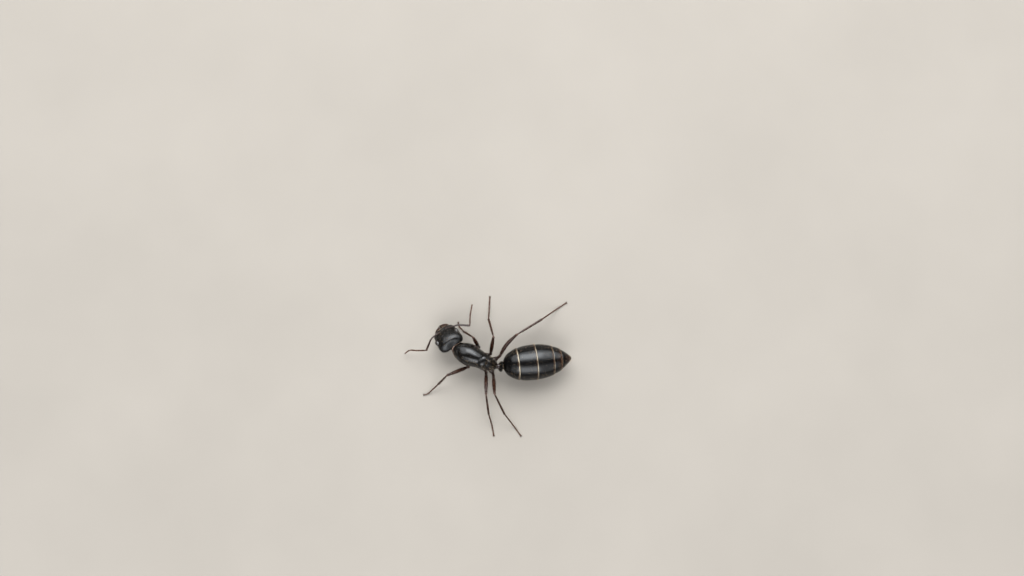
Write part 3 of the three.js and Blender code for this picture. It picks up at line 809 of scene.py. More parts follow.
def chitin(name, dark, light, yaw=0.0, stretch=(1, 1, 1), rough=(0.25, 0.36), cell=34.0, relief=0.0016, wave=0.004, rim=(0.26, 0.20, 0.115), brown=(0.028, 0.010, 0.0045), level=0.5, coat=0.0):
    """Shell: two close shades, a faint net of fine sculpture, low swells that break up
    reflections, brown edges where the plate thins, and whitish edges that are partly the plate's thin margin and partly
    a painted highlight."""
    m, nt, p = material(name)
    n = Nodes(nt)
    xyz = n.place()
    along = n.place(stretch, yaw)
    shade = n.span(n.noise(xyz, 1.3, 5, 0.6), 0.32, 0.68)
    base = n.mix(shade, dark, light)
    fine = n.span(n.noise(xyz, 11, 3), 0.35, 0.65, 0.0, 0.35)
    base = n.mix(fine, base, tuple(x * 0.6 for x in dark))
    base = n.mix(n.held("brown"), base, brown)
    flecks = n.span(n.noise(xyz, 7, 4, 0.7), 0.3, 0.66, 0.45, 1.0)
    # whitish edges: the plate's thin margin with a painted highlight in it, mottled
    base = n.mix(n.math("MULTIPLY", n.held("pale"), flecks), base, rim)
    n.link(base, p.inputs["Base Color"])
    r = n.span(n.noise(xyz, 2.4, 5, 0.65), 0.3, 0.7, rough[0], rough[1])
    r = n.math("ADD", r, n.math("MULTIPLY", n.held("pale"), 0.12))
    r = n.math("ADD", r, n.math("MULTIPLY", n.held("dull"), 0.3))
    n.link(r, p.inputs["Roughness"])
    net = n.span(n.cells(along, cell), 0.0, 0.25)
    swell = n.bump(n.noise(xyz, 3.1, 3, 0.5), wave)
    n.link(n.bump(net, relief, 0.9, swell), p.inputs["Normal"])
    p.inputs["IOR"].default_value = 1.5
    p.inputs["Specular IOR Level"].default_value = level
    p.inputs["Coat Weight"].default_value = coat
    return m


# the rim colours of the body and the gaster are whitish margins, made bright enough to carry a painted highlight as
# well
BLACK = chitin("chitin_body", (0.0010, 0.0009, 0.0008), (0.0026, 0.0020, 0.0017), yaw=-24, stretch=(1, 1, 1), rough=(0.14, 0.24), cell=38.0, relief=0.0007, wave=0.0014, rim=(0.36, 0.235, 0.175), level=0.26)
HEAD_BLACK = chitin("chitin_head", (0.0010, 0.0009, 0.0008), (0.0027, 0.0020, 0.0017), yaw=-56, rough=(0.22, 0.33), cell=42.0, relief=0.0008, wave=0.0014, level=0.205)
GASTER_BLACK = chitin("chitin_gaster", (0.0010, 0.0009, 0.0009), (0.0025, 0.0020, 0.0018), yaw=6.4, stretch=(0.35, 1.6, 0.35), rough=(0.14, 0.24), cell=26.0, relief=0.0008, wave=0.0012, rim=(0.325, 0.275, 0.195), level=0.20)
LIMB_BROWN = chitin("chitin_limb", (0.0052, 0.0022, 0.0015), (0.0110, 0.0040, 0.0025), rough=(0.21, 0.33), cell=52.0, relief=0.00035, wave=0.0012, rim=(0.20, 0.10, 0.045), brown=(0.045, 0.0155, 0.0066), level=0.31)
JAW_BROWN = chitin("chitin_jaw", (0.0085, 0.0031, 0.0019), (0.018, 0.0062, 0.0033), rough=(0.24, 0.36), cell=40.0, relief=0.0004, wave=0.0016, brown=(0.009, 0.0042, 0.0028), level=0.2)


def eye_material():
    m, nt, p = material("eye_facets")
    n = Nodes(nt)
    xyz = n.place()
    base = n.mix(n.span(n.noise(xyz, 3, 3), 0.35, 0.65), (0.0055, 0.0047, 0.0045), (0.012, 0.0088, 0.0066))
    base = n.mix(n.held("edge"), base, (0.020, 0.0135, 0.009))
    n.link(base, p.inputs["Base Color"])
    n.link(n.span(n.noise(xyz, 6, 2), 0.3, 0.7, 0.16, 0.26), p.inputs["Roughness"])
    n.link(n.bump(n.noise(xyz, 30, 2), 0.0006), p.inputs["Normal"])
    p.inputs["IOR"].default_value = 1.56
    p.inputs["Specular IOR Level"].default_value = 0.3
    return m


def ocellus_material():
    m, nt, p = material("ocellus_lens")
    n = Nodes(nt)
    xyz = n.place()
    n.link(n.mix(n.span(n.noise(xyz, 8, 2), 0.35, 0.65), (0.014, 0.0075, 0.0045), (0.034, 0.017, 0.009)), p.inputs["Base Color"])
    n.link(n.span(n.noise(xyz, 10, 2), 0.3, 0.7, 0.16, 0.26), p.inputs["Roughness"])
    p.inputs["Coat Weight"].default_value = 0.2
    p.inputs["Coat Roughness"].default_value = 0.12
    return m


def membrane_material():
    m, nt, p = material("joint_membrane")
    n = Nodes(nt)
    xyz = n.place()
    base = n.mix(n.span(n.noise(xyz, 4, 4, 0.6), 0.3, 0.7), (0.055, 0.026, 0.016), (0.13, 0.068, 0.044))
    n.link(base, p.inputs["Base Color"])
    n.link(n.span(n.noise(xyz, 7, 3), 0.3, 0.7, 0.36, 0.52), p.inputs["Roughness"])
    n.link(n.bump(n.noise(n.place((1, 4, 1), -24), 9, 3), 0.008), p.inputs["Normal"])
    return m


def hair_material(name, root, tip):
    m, nt, p = material(name)
    n = Nodes(nt)
    colour = n.mix(n.span(n.held("along"), 0.0, 0.9), root, tip)
    colour = n.mix(n.span(n.held("tone"), 0.0, 1.0, 0.0, 0.6), colour, tuple(x * 0.35 for x in root))
    n.link(colour, p.inputs["Base Color"])
    n.link(n.span(n.noise(n.place(), 6, 2), 0.3, 0.7, 0.28, 0.42), p.inputs["Roughness"])
    p.inputs["IOR"].default_value = 1.55
    return m


EYE_MAT = eye_material()
OCELLUS = ocellus_material()
MEMBRANE = membrane_material()
HAIR_GOLD = hair_material("bristle_gold", (0.11, 0.063, 0.028), (0.25, 0.17, 0.088))
HAIR_DARK = hair_material("pubescence", (0.020, 0.012, 0.007), (0.060, 0.040, 0.023))
HAIR_BROWN = hair_material("bristle_brown", (0.046, 0.022, 0.010), (0.13, 0.07, 0.033))


# ================================================================== the body
at_head, at_thorax = Place(**HEAD), Place(**THORAX)
at_petiole, at_gaster = Place(**PETIOLE), Place(**GASTER)

head_shape = Shape(
    half=[(-1.38, 0.62), (-1.22, 1.04), (-0.9, 1.25), (-0.3, 1.345), (0.3, 1.42), (0.75, 1.465), (1.06, 1.40), (1.28, 1.22), (1.43, 0.92), (1.5, 0.56)],
    top=[(-1.38, 0.12), (-1.16, 0.4), (-0.74, 0.68), (-0.1, 0.88), (0.48, 0.94), (0.87, 0.87), (1.18, 0.65), (1.38, 0.37), (1.5, 0.16)],
    bottom=[(-1.38, 0.34), (-1.16, 0.5), (-0.63, 0.66), (0, 0.8), (0.58, 0.86), (0.95, 0.79), (1.22, 0.57), (1.4, 0.34), (1.5, 0.2)],
    square=2.1, soft=0.045, caps=(0.03, 0.05),
)
thorax_shape = Shape(
    half=[(-2.75, 0.22), (-2.6, 0.42), (-2.36, 0.66), (-2.0, 0.88), (-1.6, 1.04), (-1.1, 1.16), (-0.6, 1.19), (0, 1.08), (0.6, 0.96), (1.1, 0.87), (1.8, 0.77), (2.25, 0.6), (2.48, 0.42), (2.6, 0.26)],
    top=[(-2.75, 0.08), (-2.55, 0.36), (-2.3, 0.64), (-2.0, 0.88), (-1.6, 1.14), (-0.9, 1.38), (-0.1, 1.43), (0.6, 1.36), (1.2, 1.28), (1.65, 1.12), (2.1, 0.62), (2.42, 0.1), (2.6, -0.3)],
    bottom=[(-2.75, 0.2), (-2.5, 0.5), (-2.15, 0.78), (-1.75, 0.98), (-1.2, 1.2), (-0.2, 1.42), (0.7, 1.4), (1.5, 1.24), (2.1, 1.06), (2.45, 0.9), (2.6, 0.78)],
    square=2.25, soft=0.09, caps=(0.06, 0.05),
)
gaster_shape = Shape(
    half=[(-0.012, 0.4), (0.004, 0.7), (0.03, 1.0), (0.06, 1.22), (0.1, 1.43), (0.2, 1.74), (0.34, 1.92), (0.48, 1.94), (0.6, 1.84), (0.7, 1.64), (0.8, 1.33), (0.88, 0.96), (0.94, 0.6), (0.985, 0.28), (1, 0.12)],
    top=[(-0.012, 0.28), (0.004, 0.58), (0.03, 0.9), (0.06, 1.14), (0.12, 1.43), (0.2, 1.63), (0.34, 1.75), (0.5, 1.7), (0.68, 1.48), (0.82, 1.16), (0.92, 0.76), (0.975, 0.38), (1, 0.12)],
    bottom=[(-0.012, 0.3), (0.004, 0.58), (0.03, 0.87), (0.07, 1.14), (0.14, 1.45), (0.24, 1.67), (0.38, 1.74), (0.54, 1.64), (0.72, 1.36), (0.87, 0.92), (0.95, 0.52), (0.985, 0.27), (1, 0.1)],
    square=2.08, soft=0.12, caps=(0.06, 0.05), scale=GASTER_LENGTH,
)
petiole_shape = Shape(
    half=[(-0.31, 0.32), (-0.22, 0.46), (0, 0.57), (0.2, 0.48), (0.31, 0.32)],
    top=[(-0.31, -0.1), (-0.2, 0.3), (-0.08, 0.9), (0.04, 1.06), (0.14, 0.84), (0.24, 0.2), (0.31, -0.05)],
    bottom=[(-0.31, 0.4), (0, 0.52), (0.31, 0.36)],
    square=2.5, soft=0.035, caps=(0.1, 0.1),
)


# ------------------------------------------------------------------ trunk relief
def bare_skin(shape, place=None):
    return Skin(shape, place)


thorax_bare = bare_skin(thorax_shape)


def collar(a):
    s = np.sin(a)
    up = np.maximum(s, 0) ** 2.2
    down = np.maximum(-s, 0) ** 1.5
    return np.where(s > 0, -1.25 + (-2.1 + 1.25) * up, -1.25 + (-1.85 + 1.25) * down)


def waist(a):
    return 1.5 + 0.1 * np.sin(a)


def both_sides(line):
    return [line, mirror(line)]


# Fine lines and seams of the trunk, as curves laid on its bare shape.
SCUTUM_EDGE = both_sides(thorax_bare.trace([(0.52, -1.62), (0.50, -1.2), (0.62, -0.7), (0.70, -0.1), (0.74, 0.42), (0.80, 0.72)], "left"))
PARAPSIDAL = both_sides(thorax_bare.trace([(0.52, -0.62), (0.50, -0.2), (0.47, 0.2), (0.42, 0.46)], "top"))
MEDIAN = thorax_bare.trace([(0.0, -2.02), (0.0, -1.7), (0.0, -1.35)], "top")
SCUTUM_END = thorax_bare.trace([(-0.95, 0.62), (-0.6, 0.52), (-0.25, 0.60), (0.0, 0.64), (0.25, 0.60), (0.6, 0.52), (0.95, 0.62)], "top", 80)
AXILLA = both_sides(thorax_bare.trace([(0.30, 0.60), (0.50, 0.78), (0.66, 0.98), (0.74, 1.2)], "top"))
METANOTUM = thorax_bare.trace([(-0.8, 1.22), (-0.5, 1.36), (0.0, 1.41), (0.5, 1.36), (0.8, 1.22)], "top", 70)
PLEURAL = both_sides(thorax_bare.trace([(0.30, 0.30), (0.05, 0.0), (-0.25, -0.35), (-0.42, -0.85), (-0.5, -1.35)], "left"))
EPIMERON = both_sides(thorax_bare.trace([(0.42, 0.55), (0.1, 0.5), (-0.3, 0.42), (-0.75, 0.30), (-1.05, 0.25)], "left"))
META_EDGE = both_sides(thorax_bare.trace([(0.95, 1.22), (0.55, 1.12), (0.1, 1.02), (-0.4, 0.98), (-0.9, 1.02)], "left"))
META_LOW = both_sides(thorax_bare.trace([(0.25, 1.22), (0.05, 1.55), (-0.15, 1.95), (-0.35, 2.3)], "left"))
PRONOTUM_LOW = both_sides(thorax_bare.trace([(-0.15, -2.35), (-0.38, -2.0), (-0.55, -1.6), (-0.62, -1.35)], "left"))
PRONOTUM_NECK = thorax_bare.base(np.linspace(0.1, PI - 0.1, 60), np.full(60, -2.52))
SPIRACLE = thorax_bare.base(thorax_bare.angle(np.array([0.42, 0.42]), np.array([1.88, 1.88]), "left")[:1], np.array([1.88]))[0]
HIPS = [np.array([s * x, y, -1.25]) for x, y in ((0.52, -1.22), (0.47, 0.80), (0.36, 1.95)) for s in (1, -1)]


def groove(p, n, line, depth, width, step=0.0, lead=0.12, soft=0.03):
    d, share, side = near(p, line, n)
    out = -depth * bell(d, width) * ends(share, lead)
    if step:
        out = out + 0.5 * step * np.tanh(side / soft) * bell(d, 0.16) * ends(share, lead)
    return out


def front_rim(a):
    """Where the shoulders' thin front margin lies over the neck piece."""
    side = np.degrees(np.arcsin(np.clip(np.sin(a), -1, 1)))
    return -2.14 - 0.50 * ramp(side, 5, 75), side


def trunk_relief(p, n, a, y):
    x, z = p[..., 0], p[..., 2]
    out = np.zeros(x.shape)
    line, side = front_rim(a)
    out -= 0.034 * (1 - ramp(y - line, -0.022, 0.012)) * ramp(side, -64, -34)
    for i, line in enumerate(SCUTUM_EDGE):
        out += groove(p, n, line, 0.045, 0.032, (0.05, -0.05)[i])
    for line in PARAPSIDAL:
        out += groove(p, n, line, 0.010, 0.016)
    out += groove(p, n, MEDIAN, 0.010, 0.018)
    out += groove(p, n, SCUTUM_END, 0.055, 0.040, 0.0, 0.06)
    for line in AXILLA:
        out += groove(p, n, line, 0.045, 0.034)
    out += groove(p, n, METANOTUM, 0.075, 0.055, 0.0, 0.08)
    for line in PLEURAL + EPIMERON:
        out += groove(p, n, line, 0.042, 0.030)
    for line in META_EDGE + META_LOW:
        out += groove(p, n, line, 0.045, 0.034)
    for line in PRONOTUM_LOW:
        out += groove(p, n, line, 0.030, 0.028)
    out += groove(p, n, PRONOTUM_NECK, 0.03, 0.05, 0.0, 0.1)
    # the moat round the scutellum, and the two low swellings of the pleura
    e = np.sqrt((x / 0.64) ** 2 + ((y - 0.99) / 0.44) ** 2)
    top = ramp(z, 0.3, 0.7)
    out -= 0.075 * bell(e - 1.02, 0.13) * top
    side = ramp(np.abs(n[..., 0]), 0.5, 0.85)
    out += 0.035 * bell(np.hypot((y + 0.75) / 0.55, (z + 0.1) / 0.35), 1.0) * side
    out += 0.03 * bell(np.hypot((y - 0.1) / 0.4, (z + 0.55) / 0.45), 1.0) * side
    # spiracle of the propodeum: a slit in a low rim
    for s in (1, -1):
        q = p - SPIRACLE * np.array([s, 1, 1])
        u = q[..., 1] * 0.35 + q[..., 2] * 0.94
        v = q[..., 1] * 0.94 - q[..., 2] * 0.35
        r = np.hypot(u / 0.11, v / 0.055)
        r = np.where(np.sign(x) == s, r, 9)
        out += 0.022 * bell(r - 1.15, 0.35) - 0.06 * bell(r, 0.62)
    # sockets of the hips
    for hip in HIPS:
        q = p - hip
        r = np.hypot(q[..., 0], q[..., 1] * 0.92)
        under = ramp(-n[..., 2], 0.1, 0.6)
        out += (-0.09 * bell(r / 0.40, 0.9) + 0.035 * bell(r - 0.47, 0.06)) * under
    # a shallow keel under the middle
    out += 0.03 * bell(x, 0.06) * ramp(-n[..., 2], 0.6, 0.95) * ramp(y, -1.9, -1.3) * ramp(-y, -1.2, -0.6)
    return out


def trunk_warp(p):
    """The propodeum's hind face is a little hollow, with rounded shoulders."""
    q = p.copy()
    y, z, x = p[..., 1], p[..., 2], p[..., 0]
    q[..., 1] = y - 0.05 * bell(x, 0.4) * ramp(y, 2.0, 2.45) * ramp(z, -0.6, 0.0)
    return q


trunk = Skin(thorax_shape, at_thorax, trunk_relief, trunk_warp)
GAP = 0.028


def trunk_attrs():
    def pale(a, y, t, depth):
        # the thin front rim, widest on the shoulders: the plate's own lighter edge with a painted highlight in it,
        # whitish on top and fading out towards the underside
        line, side = front_rim(a)
        front = bell(y - line - 0.012, 0.046) * ramp(side, -62, 25)
        return np.clip(0.9 * front, 0, 1) * (depth < 0.2)

    def brown(a, y, t, depth):
        low = ramp(-np.sin(a), 0.35, 1.0) * 0.25
        line, side = front_rim(a)
        return np.clip(low + 0.42 * (1 - ramp(y - line, -0.05, 0.07)) * ramp(side, -64, 0), 0, 1)

    return dict(pale=pale, brown=brown)


piece("pronotum_plate", [shell(trunk, thorax_shape.lo + 0.02, lambda a: collar(a) + 0.011, 300, 110, (0.03, 0.055), (0.12, 0.35), trunk_attrs())], BLACK, ["pronotum"])
meso_columns = fan(0.7, [math.radians(x) for x in (38, 142)], 0.3)
piece("mesothorax_plates", [shell(trunk, lambda a: collar(a) + 0.011 + GAP, lambda a: waist(a) + 0.011, 420, 190, (0.045, 0.05), (0.35, 0.35), trunk_attrs(), focus=meso_columns)], BLACK, ["mesothorax"])
piece("propodeum_plate", [shell(trunk, lambda a: waist(a) + 0.011 + GAP, thorax_shape.hi - 0.02, 300, 110, (0.045, 0.04), (0.35, 0.15), trunk_attrs())], BLACK, ["propodeum"])


def scutellum_lump(d):
    return 1 - 0.10 * ramp(d[..., 1], 0.2, 1.0) * ramp(np.abs(d[..., 0]), 0.3, 0.9)


shield = ball((0, 0.98, 1.115), (0.60, 0.40, 0.27), turn(0, -9), 70, 110, square=2.35, lump=scutellum_lump)
shield.v = at_thorax.out(shield.v)
piece("scutellum_shield", [shield], BLACK, ["scutellum"])


# ------------------------------------------------------------------ wing scars
def seat(skin, z, y, side, depth=0.0):
    """A place on a flank with its axes as columns: along the body, up the flank, outwards."""
    a = skin_angle(skin, z, y, side)
    p, n = skin.at(a, np.array([y]), depth)
    p2, _ = skin.at(a, np.array([y + 0.02]), depth)
    n = n[0]
    along = p2[0] - p[0]
    along = unit(along - n * (along @ n))
    return p[0], np.stack([along, np.cross(n, along), n], 1)


def skin_angle(skin, z, y, side):
    return thorax_bare.angle(np.array([z]), np.array([y]), side)


def wing_scars():
    dark, soft = [], []
    for side in ("left", "right"):
        for z, y, k in ((0.46, -0.34, 1.0), (0.40, 0.86, 0.72)):
            # the torn root: a raised lip round a sunken stump
            p, r = seat(trunk, z, y, side)
            dark.append(ball(p, (0.20 * k, 0.085 * k, 0.075 * k), r, 24, 36, dict(brown=lambda d: 0.55 + 0 * d[..., 0]), square=2.4, lump=lambda d: 1 - 0.30 * bell(np.hypot(d[..., 0] / 0.6, d[..., 1] / 0.6), 0.7) * (d[..., 2] > 0)))
            q, r = seat(trunk, z + 0.02, y + 0.04 * k, side, -0.030 * k)
            soft.append(ball(q, (0.10 * k, 0.035 * k, 0.03 * k), r, 16, 24, square=2.3, lump=lambda d: 1 + 0.12 * np.sin(9 * d[..., 0] + 4)))
            # small plates before and behind it
            for dy, dz, s in ((-0.26, 0.03, 0.8), (0.25, -0.02, 0.62)):
                p, r = seat(trunk, z + dz, y + dy * k, side, 0.004)
                dark.append(ball(p, (0.085 * k * s, 0.065 * k * s, 0.05 * k * s), r, 18, 26, dict(brown=lambda d: 0.75 + 0 * d[..., 0]), square=2.5))
        # tegula: a smooth shell-like lid over the fore wing's root
        p, r = seat(trunk, 0.60, -0.56, side, 0.0)
        dark.append(ball(p, (0.16, 0.10, 0.055), r, 24, 34, dict(brown=lambda d: 0.45 + 0.4 * ramp(np.abs(d[..., 0]), 0.6, 1)), square=2.2))
    return dark, soft


scar_dark, scar_soft = wing_scars()
piece("wing_scars", scar_dark, BLACK)
piece("wing_scar_stumps", scar_soft, MEMBRANE)


# ================================================================== head
head_bare = bare_skin(head_shape)
CLYPEUS = spline([(-0.60, -1.42), (-0.66, -1.24), (-0.58, -1.05), (-0.40, -0.95), (-0.26, -0.87), (0.0, -0.84), (0.26, -0.87), (0.40, -0.95), (0.58, -1.05), (0.66, -1.24), (0.60, -1.42)], 60)
CARINA = both_sides(head_bare.trace([(0.22, -0.86), (0.235, -0.72), (0.29, -0.56), (0.37, -0.36), (0.41, -0.16), (0.40, 0.06)], "top"))
FURROW = head_bare.trace([(0.0, -0.72), (0.0, -0.3), (0.0, 0.1), (0.0, 0.52)], "top")
GULA = head_bare.trace([(0.0, -0.62), (0.0, 0.0), (0.0, 0.6), (0.0, 1.1)], "bottom")
MOUTH = spline([(-0.62, -1.45), (-0.56, -1.1), (-0.42, -0.82), (-0.18, -0.66), (0.18, -0.66), (0.42, -0.82), (0.56, -1.1), (0.62, -1.45)], 60)
MALAR = both_sides(head_bare.trace([(0.02, -1.22), (0.06, -1.0), (0.16, -0.7), (0.24, -0.42)], "left"))
OCELLI = [(0.0, 0.60, 0.075), (0.20, 0.84, 0.066), (-0.20, 0.84, 0.066)]
socket_angle = float(head_bare.angle(np.array([SOCKET[0]]), np.array([SOCKET[1]]), "top")[0])
SOCKET_AT = head_bare.base(np.array([socket_angle]), np.array([SOCKET[1]]))[0]
eye_turn = turn(0, 0, -EYE["lean"])
EYE_AXIS = eye_turn @ np.array([1.0, 0, 0])


def head_relief(p, n, a, y):
    x, z = p[..., 0], p[..., 2]
    top = ramp(n[..., 2], 0.05, 0.45)
    low = ramp(-n[..., 2], 0.1, 0.5)
    out = np.zeros(x.shape)
    # clypeus: a low shield with a blunt keel, outlined by a groove
    d = inside_polygon(x, y, CLYPEUS)
    out += top * (0.040 * ramp(d, -0.01, 0.14) - 0.034 * bell(d, 0.024))
    out += top * 0.022 * bell(x, 0.045) * ramp(d, 0.02, 0.14)
    out -= top * 0.030 * bell(np.hypot(np.abs(x) - 0.50, y + 1.0), 0.05)
    # the face between the ridges is a little raised, and hollow outside them
    for line in CARINA:
        dist, share, side = near(p, line, n)
        out += 0.062 * bell(dist, 0.034) * ends(share, 0.18)
    out -= top * 0.040 * bell(np.hypot((np.abs(x) - 0.56) / 0.17, (y + 0.48) / 0.36), 1.0)
    out += groove(p, n, FURROW, 0.009, 0.016)
    tri = np.hypot(x / 0.13, (y + 0.76) / 0.07)
    out -= top * 0.026 * bell(tri, 0.9)
    for s in (1, -1):
        q = p - SOCKET_AT * np.array([s, 1, 1])
        r = np.linalg.norm(q, axis=-1)
        out += -0.11 * bell(r, 0.085) + 0.034 * bell(r - 0.135, 0.032)
        # a ring-shaped fold round each eye
        e = (p - np.array([EYE["at"][0] * s, EYE["at"][1], EYE["at"][2]])) @ (eye_turn if s > 0 else np.diag([-1, 1, 1]) @ eye_turn)
        e = np.linalg.norm(e / np.array(EYE["radii"]), axis=-1)
        out += -0.024 * bell(e - 1.02, 0.07) + 0.014 * bell(e - 1.20, 0.11)
    for ox, oy, r in OCELLI:
        q = np.hypot(x - ox, y - oy)
        out += top * (-0.02 * bell(q, r * 0.9) + 0.005 * bell(q - r * 1.35, 0.03))
    # hind margin: a shallow hollow between the corners, and the neck's hollow behind
    back = ramp(y, 0.9, 1.45)
    out -= 0.13 * bell(x, 0.6) * back
    # underside: the mouth's field, its rim, the middle line, the cheeks' groove
    m = inside_polygon(x, y, MOUTH)
    out += low * (-0.085 * ramp(m, 0.0, 0.10) + 0.03 * bell(m + 0.03, 0.04))
    out += groove(p, n, GULA, 0.020, 0.022)
    for line in MALAR:
        out += groove(p, n, line, 0.022, 0.03)
    return out


def head_fit(p):
    """Keeps the back of the head clear of the front of the trunk, which it covers."""
    world = at_head.out(p)
    q = at_thorax.back(world)
    centre = at_head.out(np.array([0.0, 0.2, 0.0]))
    way = unit(centre - world)
    for _ in range(40):
        w, h, c = thorax_shape(np.clip(q[..., 1], thorax_shape.lo, thorax_shape.hi))
        w, h = w + 0.06, h + 0.06
        f = (np.abs(q[..., 0] / w) ** 2.2 + np.abs((q[..., 2] - c) / h) ** 2.2) ** (1 / 2.2)
        hit = (f < 1) & (q[..., 1] > thorax_shape.lo - 0.05)
        if not hit.any():
            break
        world = np.where(hit[..., None], world + way * 0.015, world)
        q = at_thorax.back(world)
    return at_head.back(world)


skull = Skin(head_shape, at_head, head_relief)


def head_part():
    a = fan(0.5, [math.radians(90)], 0.7)(np.linspace(0, 2 * PI, 420, endpoint=False))
    y = head_shape.rows(head_shape.lo + 0.004, head_shape.hi - 0.004, 230)
    aa, yy = np.meshgrid(a, y)
    p, n = skull.local(aa, yy)
    fitted = head_fit(p)
    # blur the dent's edge a little along and round
    move = fitted - p
    for _ in range(6):
        move = (np.roll(move, 1, 1) + np.roll(move, -1, 1) + 2 * move) / 4
        inner = (move[:-2] + move[2:] + 2 * move[1:-1]) / 4
        move[1:-1] = inner
    p = at_head.out(p + move)
    d = inside_polygon(skull.base(aa, yy)[..., 0], yy, CLYPEUS) * (np.sin(aa) > 0)
    brown = np.clip(0.8 * ramp(-yy, 1.18, 1.40) + 0.35 * ramp(-np.sin(aa), 0.2, 0.9), 0, 1)
    return grid(p, True, p[0].mean(0), p[-1].mean(0), dict(brown=brown, dull=0.25 * bell(d - 0.1, 0.3)))


piece("head_capsule", [head_part()], HEAD_BLACK, ["head"])


# ---- eyes: a rounded cap of several hundred lenses
def compound_eye(sign):
    rings, cols = 150, 300
    f = np.linspace(0, 0.66 * PI, rings)[1:]
    a = np.linspace(0, 2 * PI, cols, endpoint=False)
    aa, ff = np.meshgrid(a, f)
    d = np.stack([np.cos(ff), np.sin(ff) * np.cos(aa), np.sin(ff) * np.sin(aa)], -1)
    radii = np.array(EYE["radii"]) - np.array([0.05, 0.012, 0.012])
    p = d * radii
    # a hexagonal net of lens centres over the cap, in arc lengths from its pole
    flat = np.stack([ff * np.cos(aa) * radii[1], ff * np.sin(aa) * radii[2]], -1)
    step = 0.0335
    u = flat[..., 0] / step
    v = flat[..., 1] / (step * math.sqrt(3) / 2)
    best = np.full(u.shape, 9.0)
    for dj in (-1, 0, 1):
        j = np.round(v) + dj
        off = 0.5 * (np.mod(j, 2))
        i = np.round(u - off)
        for di in (-1, 0, 1):
            cx, cy = (i + di + off) * step, j * step * math.sqrt(3) / 2
            best = np.minimum(best, np.hypot(flat[..., 0] - cx, flat[..., 1] - cy))
    r = best / (step * 0.56)
    fade = 1 - ramp(ff, 0.50 * PI, 0.58 * PI)
    n = unit(d / radii)
    p = p + n * (0.0085 * (np.sqrt(np.clip(1 - 0.8 * r * r, 0.02, 1)) - 0.6) * fade)[..., None]
    edge = ramp(r, 0.82, 1.0) * fade
    p = p @ eye_turn.T + np.array(EYE["at"])
    tip = (np.array([radii[0], 0, 0])) @ eye_turn.T + np.array(EYE["at"])
    if sign < 0:
        p, tip = p * [-1, 1, 1], tip * [-1, 1, 1]
    p, tip = at_head.out(p), at_head.out(tip)
    return grid(p, True, tip, p[-1].mean(0), dict(edge=edge))


for side, sign in (("left", 1), ("right", -1)):
    piece("compound_eye_" + side, [compound_eye(sign)], EYE_MAT, ["eye_" + side])

lenses = []
for ox, oy, r in OCELLI:
    oa = float(head_bare.angle(np.array([ox]), np.array([oy]), "top")[0])
    c, n = skull.local(np.array([oa]), np.array([oy]), 0.012)
    lenses.append(ball(at_head.out(c[0]), (r, r, r * 0.9), None, 20, 32))
piece("ocelli", lenses, OCELLUS)


# ---- jaws: triangular blades with five teeth, the left one lying over the right
def jaw(sign):
    outer = spline([(0.86, -0.98), (0.93, -1.20), (0.90, -1.46), (0.76, -1.70), (0.52, -1.88), (0.24, -1.985), (0.02, -2.03)], 240)
    inner = spline([(0.40, -1.04), (0.34, -1.18), (0.24, -1.34), (0.13, -1.46), (0.08, -1.60), (0.075, -1.74), (0.06, -1.88), (0.02, -2.02)], 240)
    t = np.linspace(0, 1, 240)
    teeth = np.zeros(240)
    for k, (at, size) in enumerate([(0.50, 0.055), (0.61, 0.060), (0.72, 0.065), (0.83, 0.075), (0.95, 0.10)]):
        x = (t - at) / 0.052
        teeth = np.maximum(teeth, size * np.clip(1 - np.abs(x + 0.25 * x * x), 0, 1) ** 0.8)
    inner = inner.copy()
    inner[:, 0] -= teeth + 0.02 * ramp(t, 0.42, 0.5)
    a = np.linspace(0, 2 * PI, 96, endpoint=False)
    ca, sa = np.cos(a), np.sin(a)
    n = 2.15
    q = (np.abs(ca) ** n + np.abs(sa) ** n) ** (-1 / n)
    mid, half = (outer + inner) / 2, (outer - inner) / 2
    thick = 0.165 - 0.10 * ramp(t, 0.1, 0.95)
    u = (q * ca + 1) / 2
    blade = 0.35 + 0.65 * ramp(u, 0.0, 0.55)[None, :]
    blade = np.where(t[:, None] < 0.4, 1 - (1 - blade) * ramp(t, 0.15, 0.45)[:, None], blade)
    p = np.empty((240, 96, 3))
    p[..., :2] = mid[:, None] + half[:, None] * (q * ca)[None, :, None]
    bend = -0.17 - 0.10 * t - 0.04 * sign * ramp(t, 0.35, 0.8)
    crown = 0.05 * (1 - (q * ca) ** 2)
    p[..., 2] = bend[:, None] + thick[:, None] * blade * (q * sa)[None] + crown[None] * ramp(t, 0, 0.3)[:, None]
    # scattered hair pits and a few lengthwise lines
    line = 0.006 * np.sin(p[..., 0] * 38 + 5 * t[:, None]) * ramp(t, 0.2, 0.5)[:, None] * (sa > 0.2)
    p[..., 2] += line
    tip = p[-1].mean(0)
    root = p[0].mean(0)
    if sign < 0:
        p, tip, root = p * [-1, 1, 1], tip * [-1, 1, 1], root * [-1, 1, 1]
    dark = np.broadcast_to(ramp(1 - u[None], 0.55, 0.95) * ramp(t, 0.35, 0.5)[:, None], p.shape[:2])
    return grid(at_head.out(p), True, at_head.out(root), at_head.out(tip), dict(brown=dark))


for side, sign in (("left", 1), ("right", -1)):
    piece("jaw_" + side, [jaw(sign)], JAW_BROWN, ["mandible_" + side])


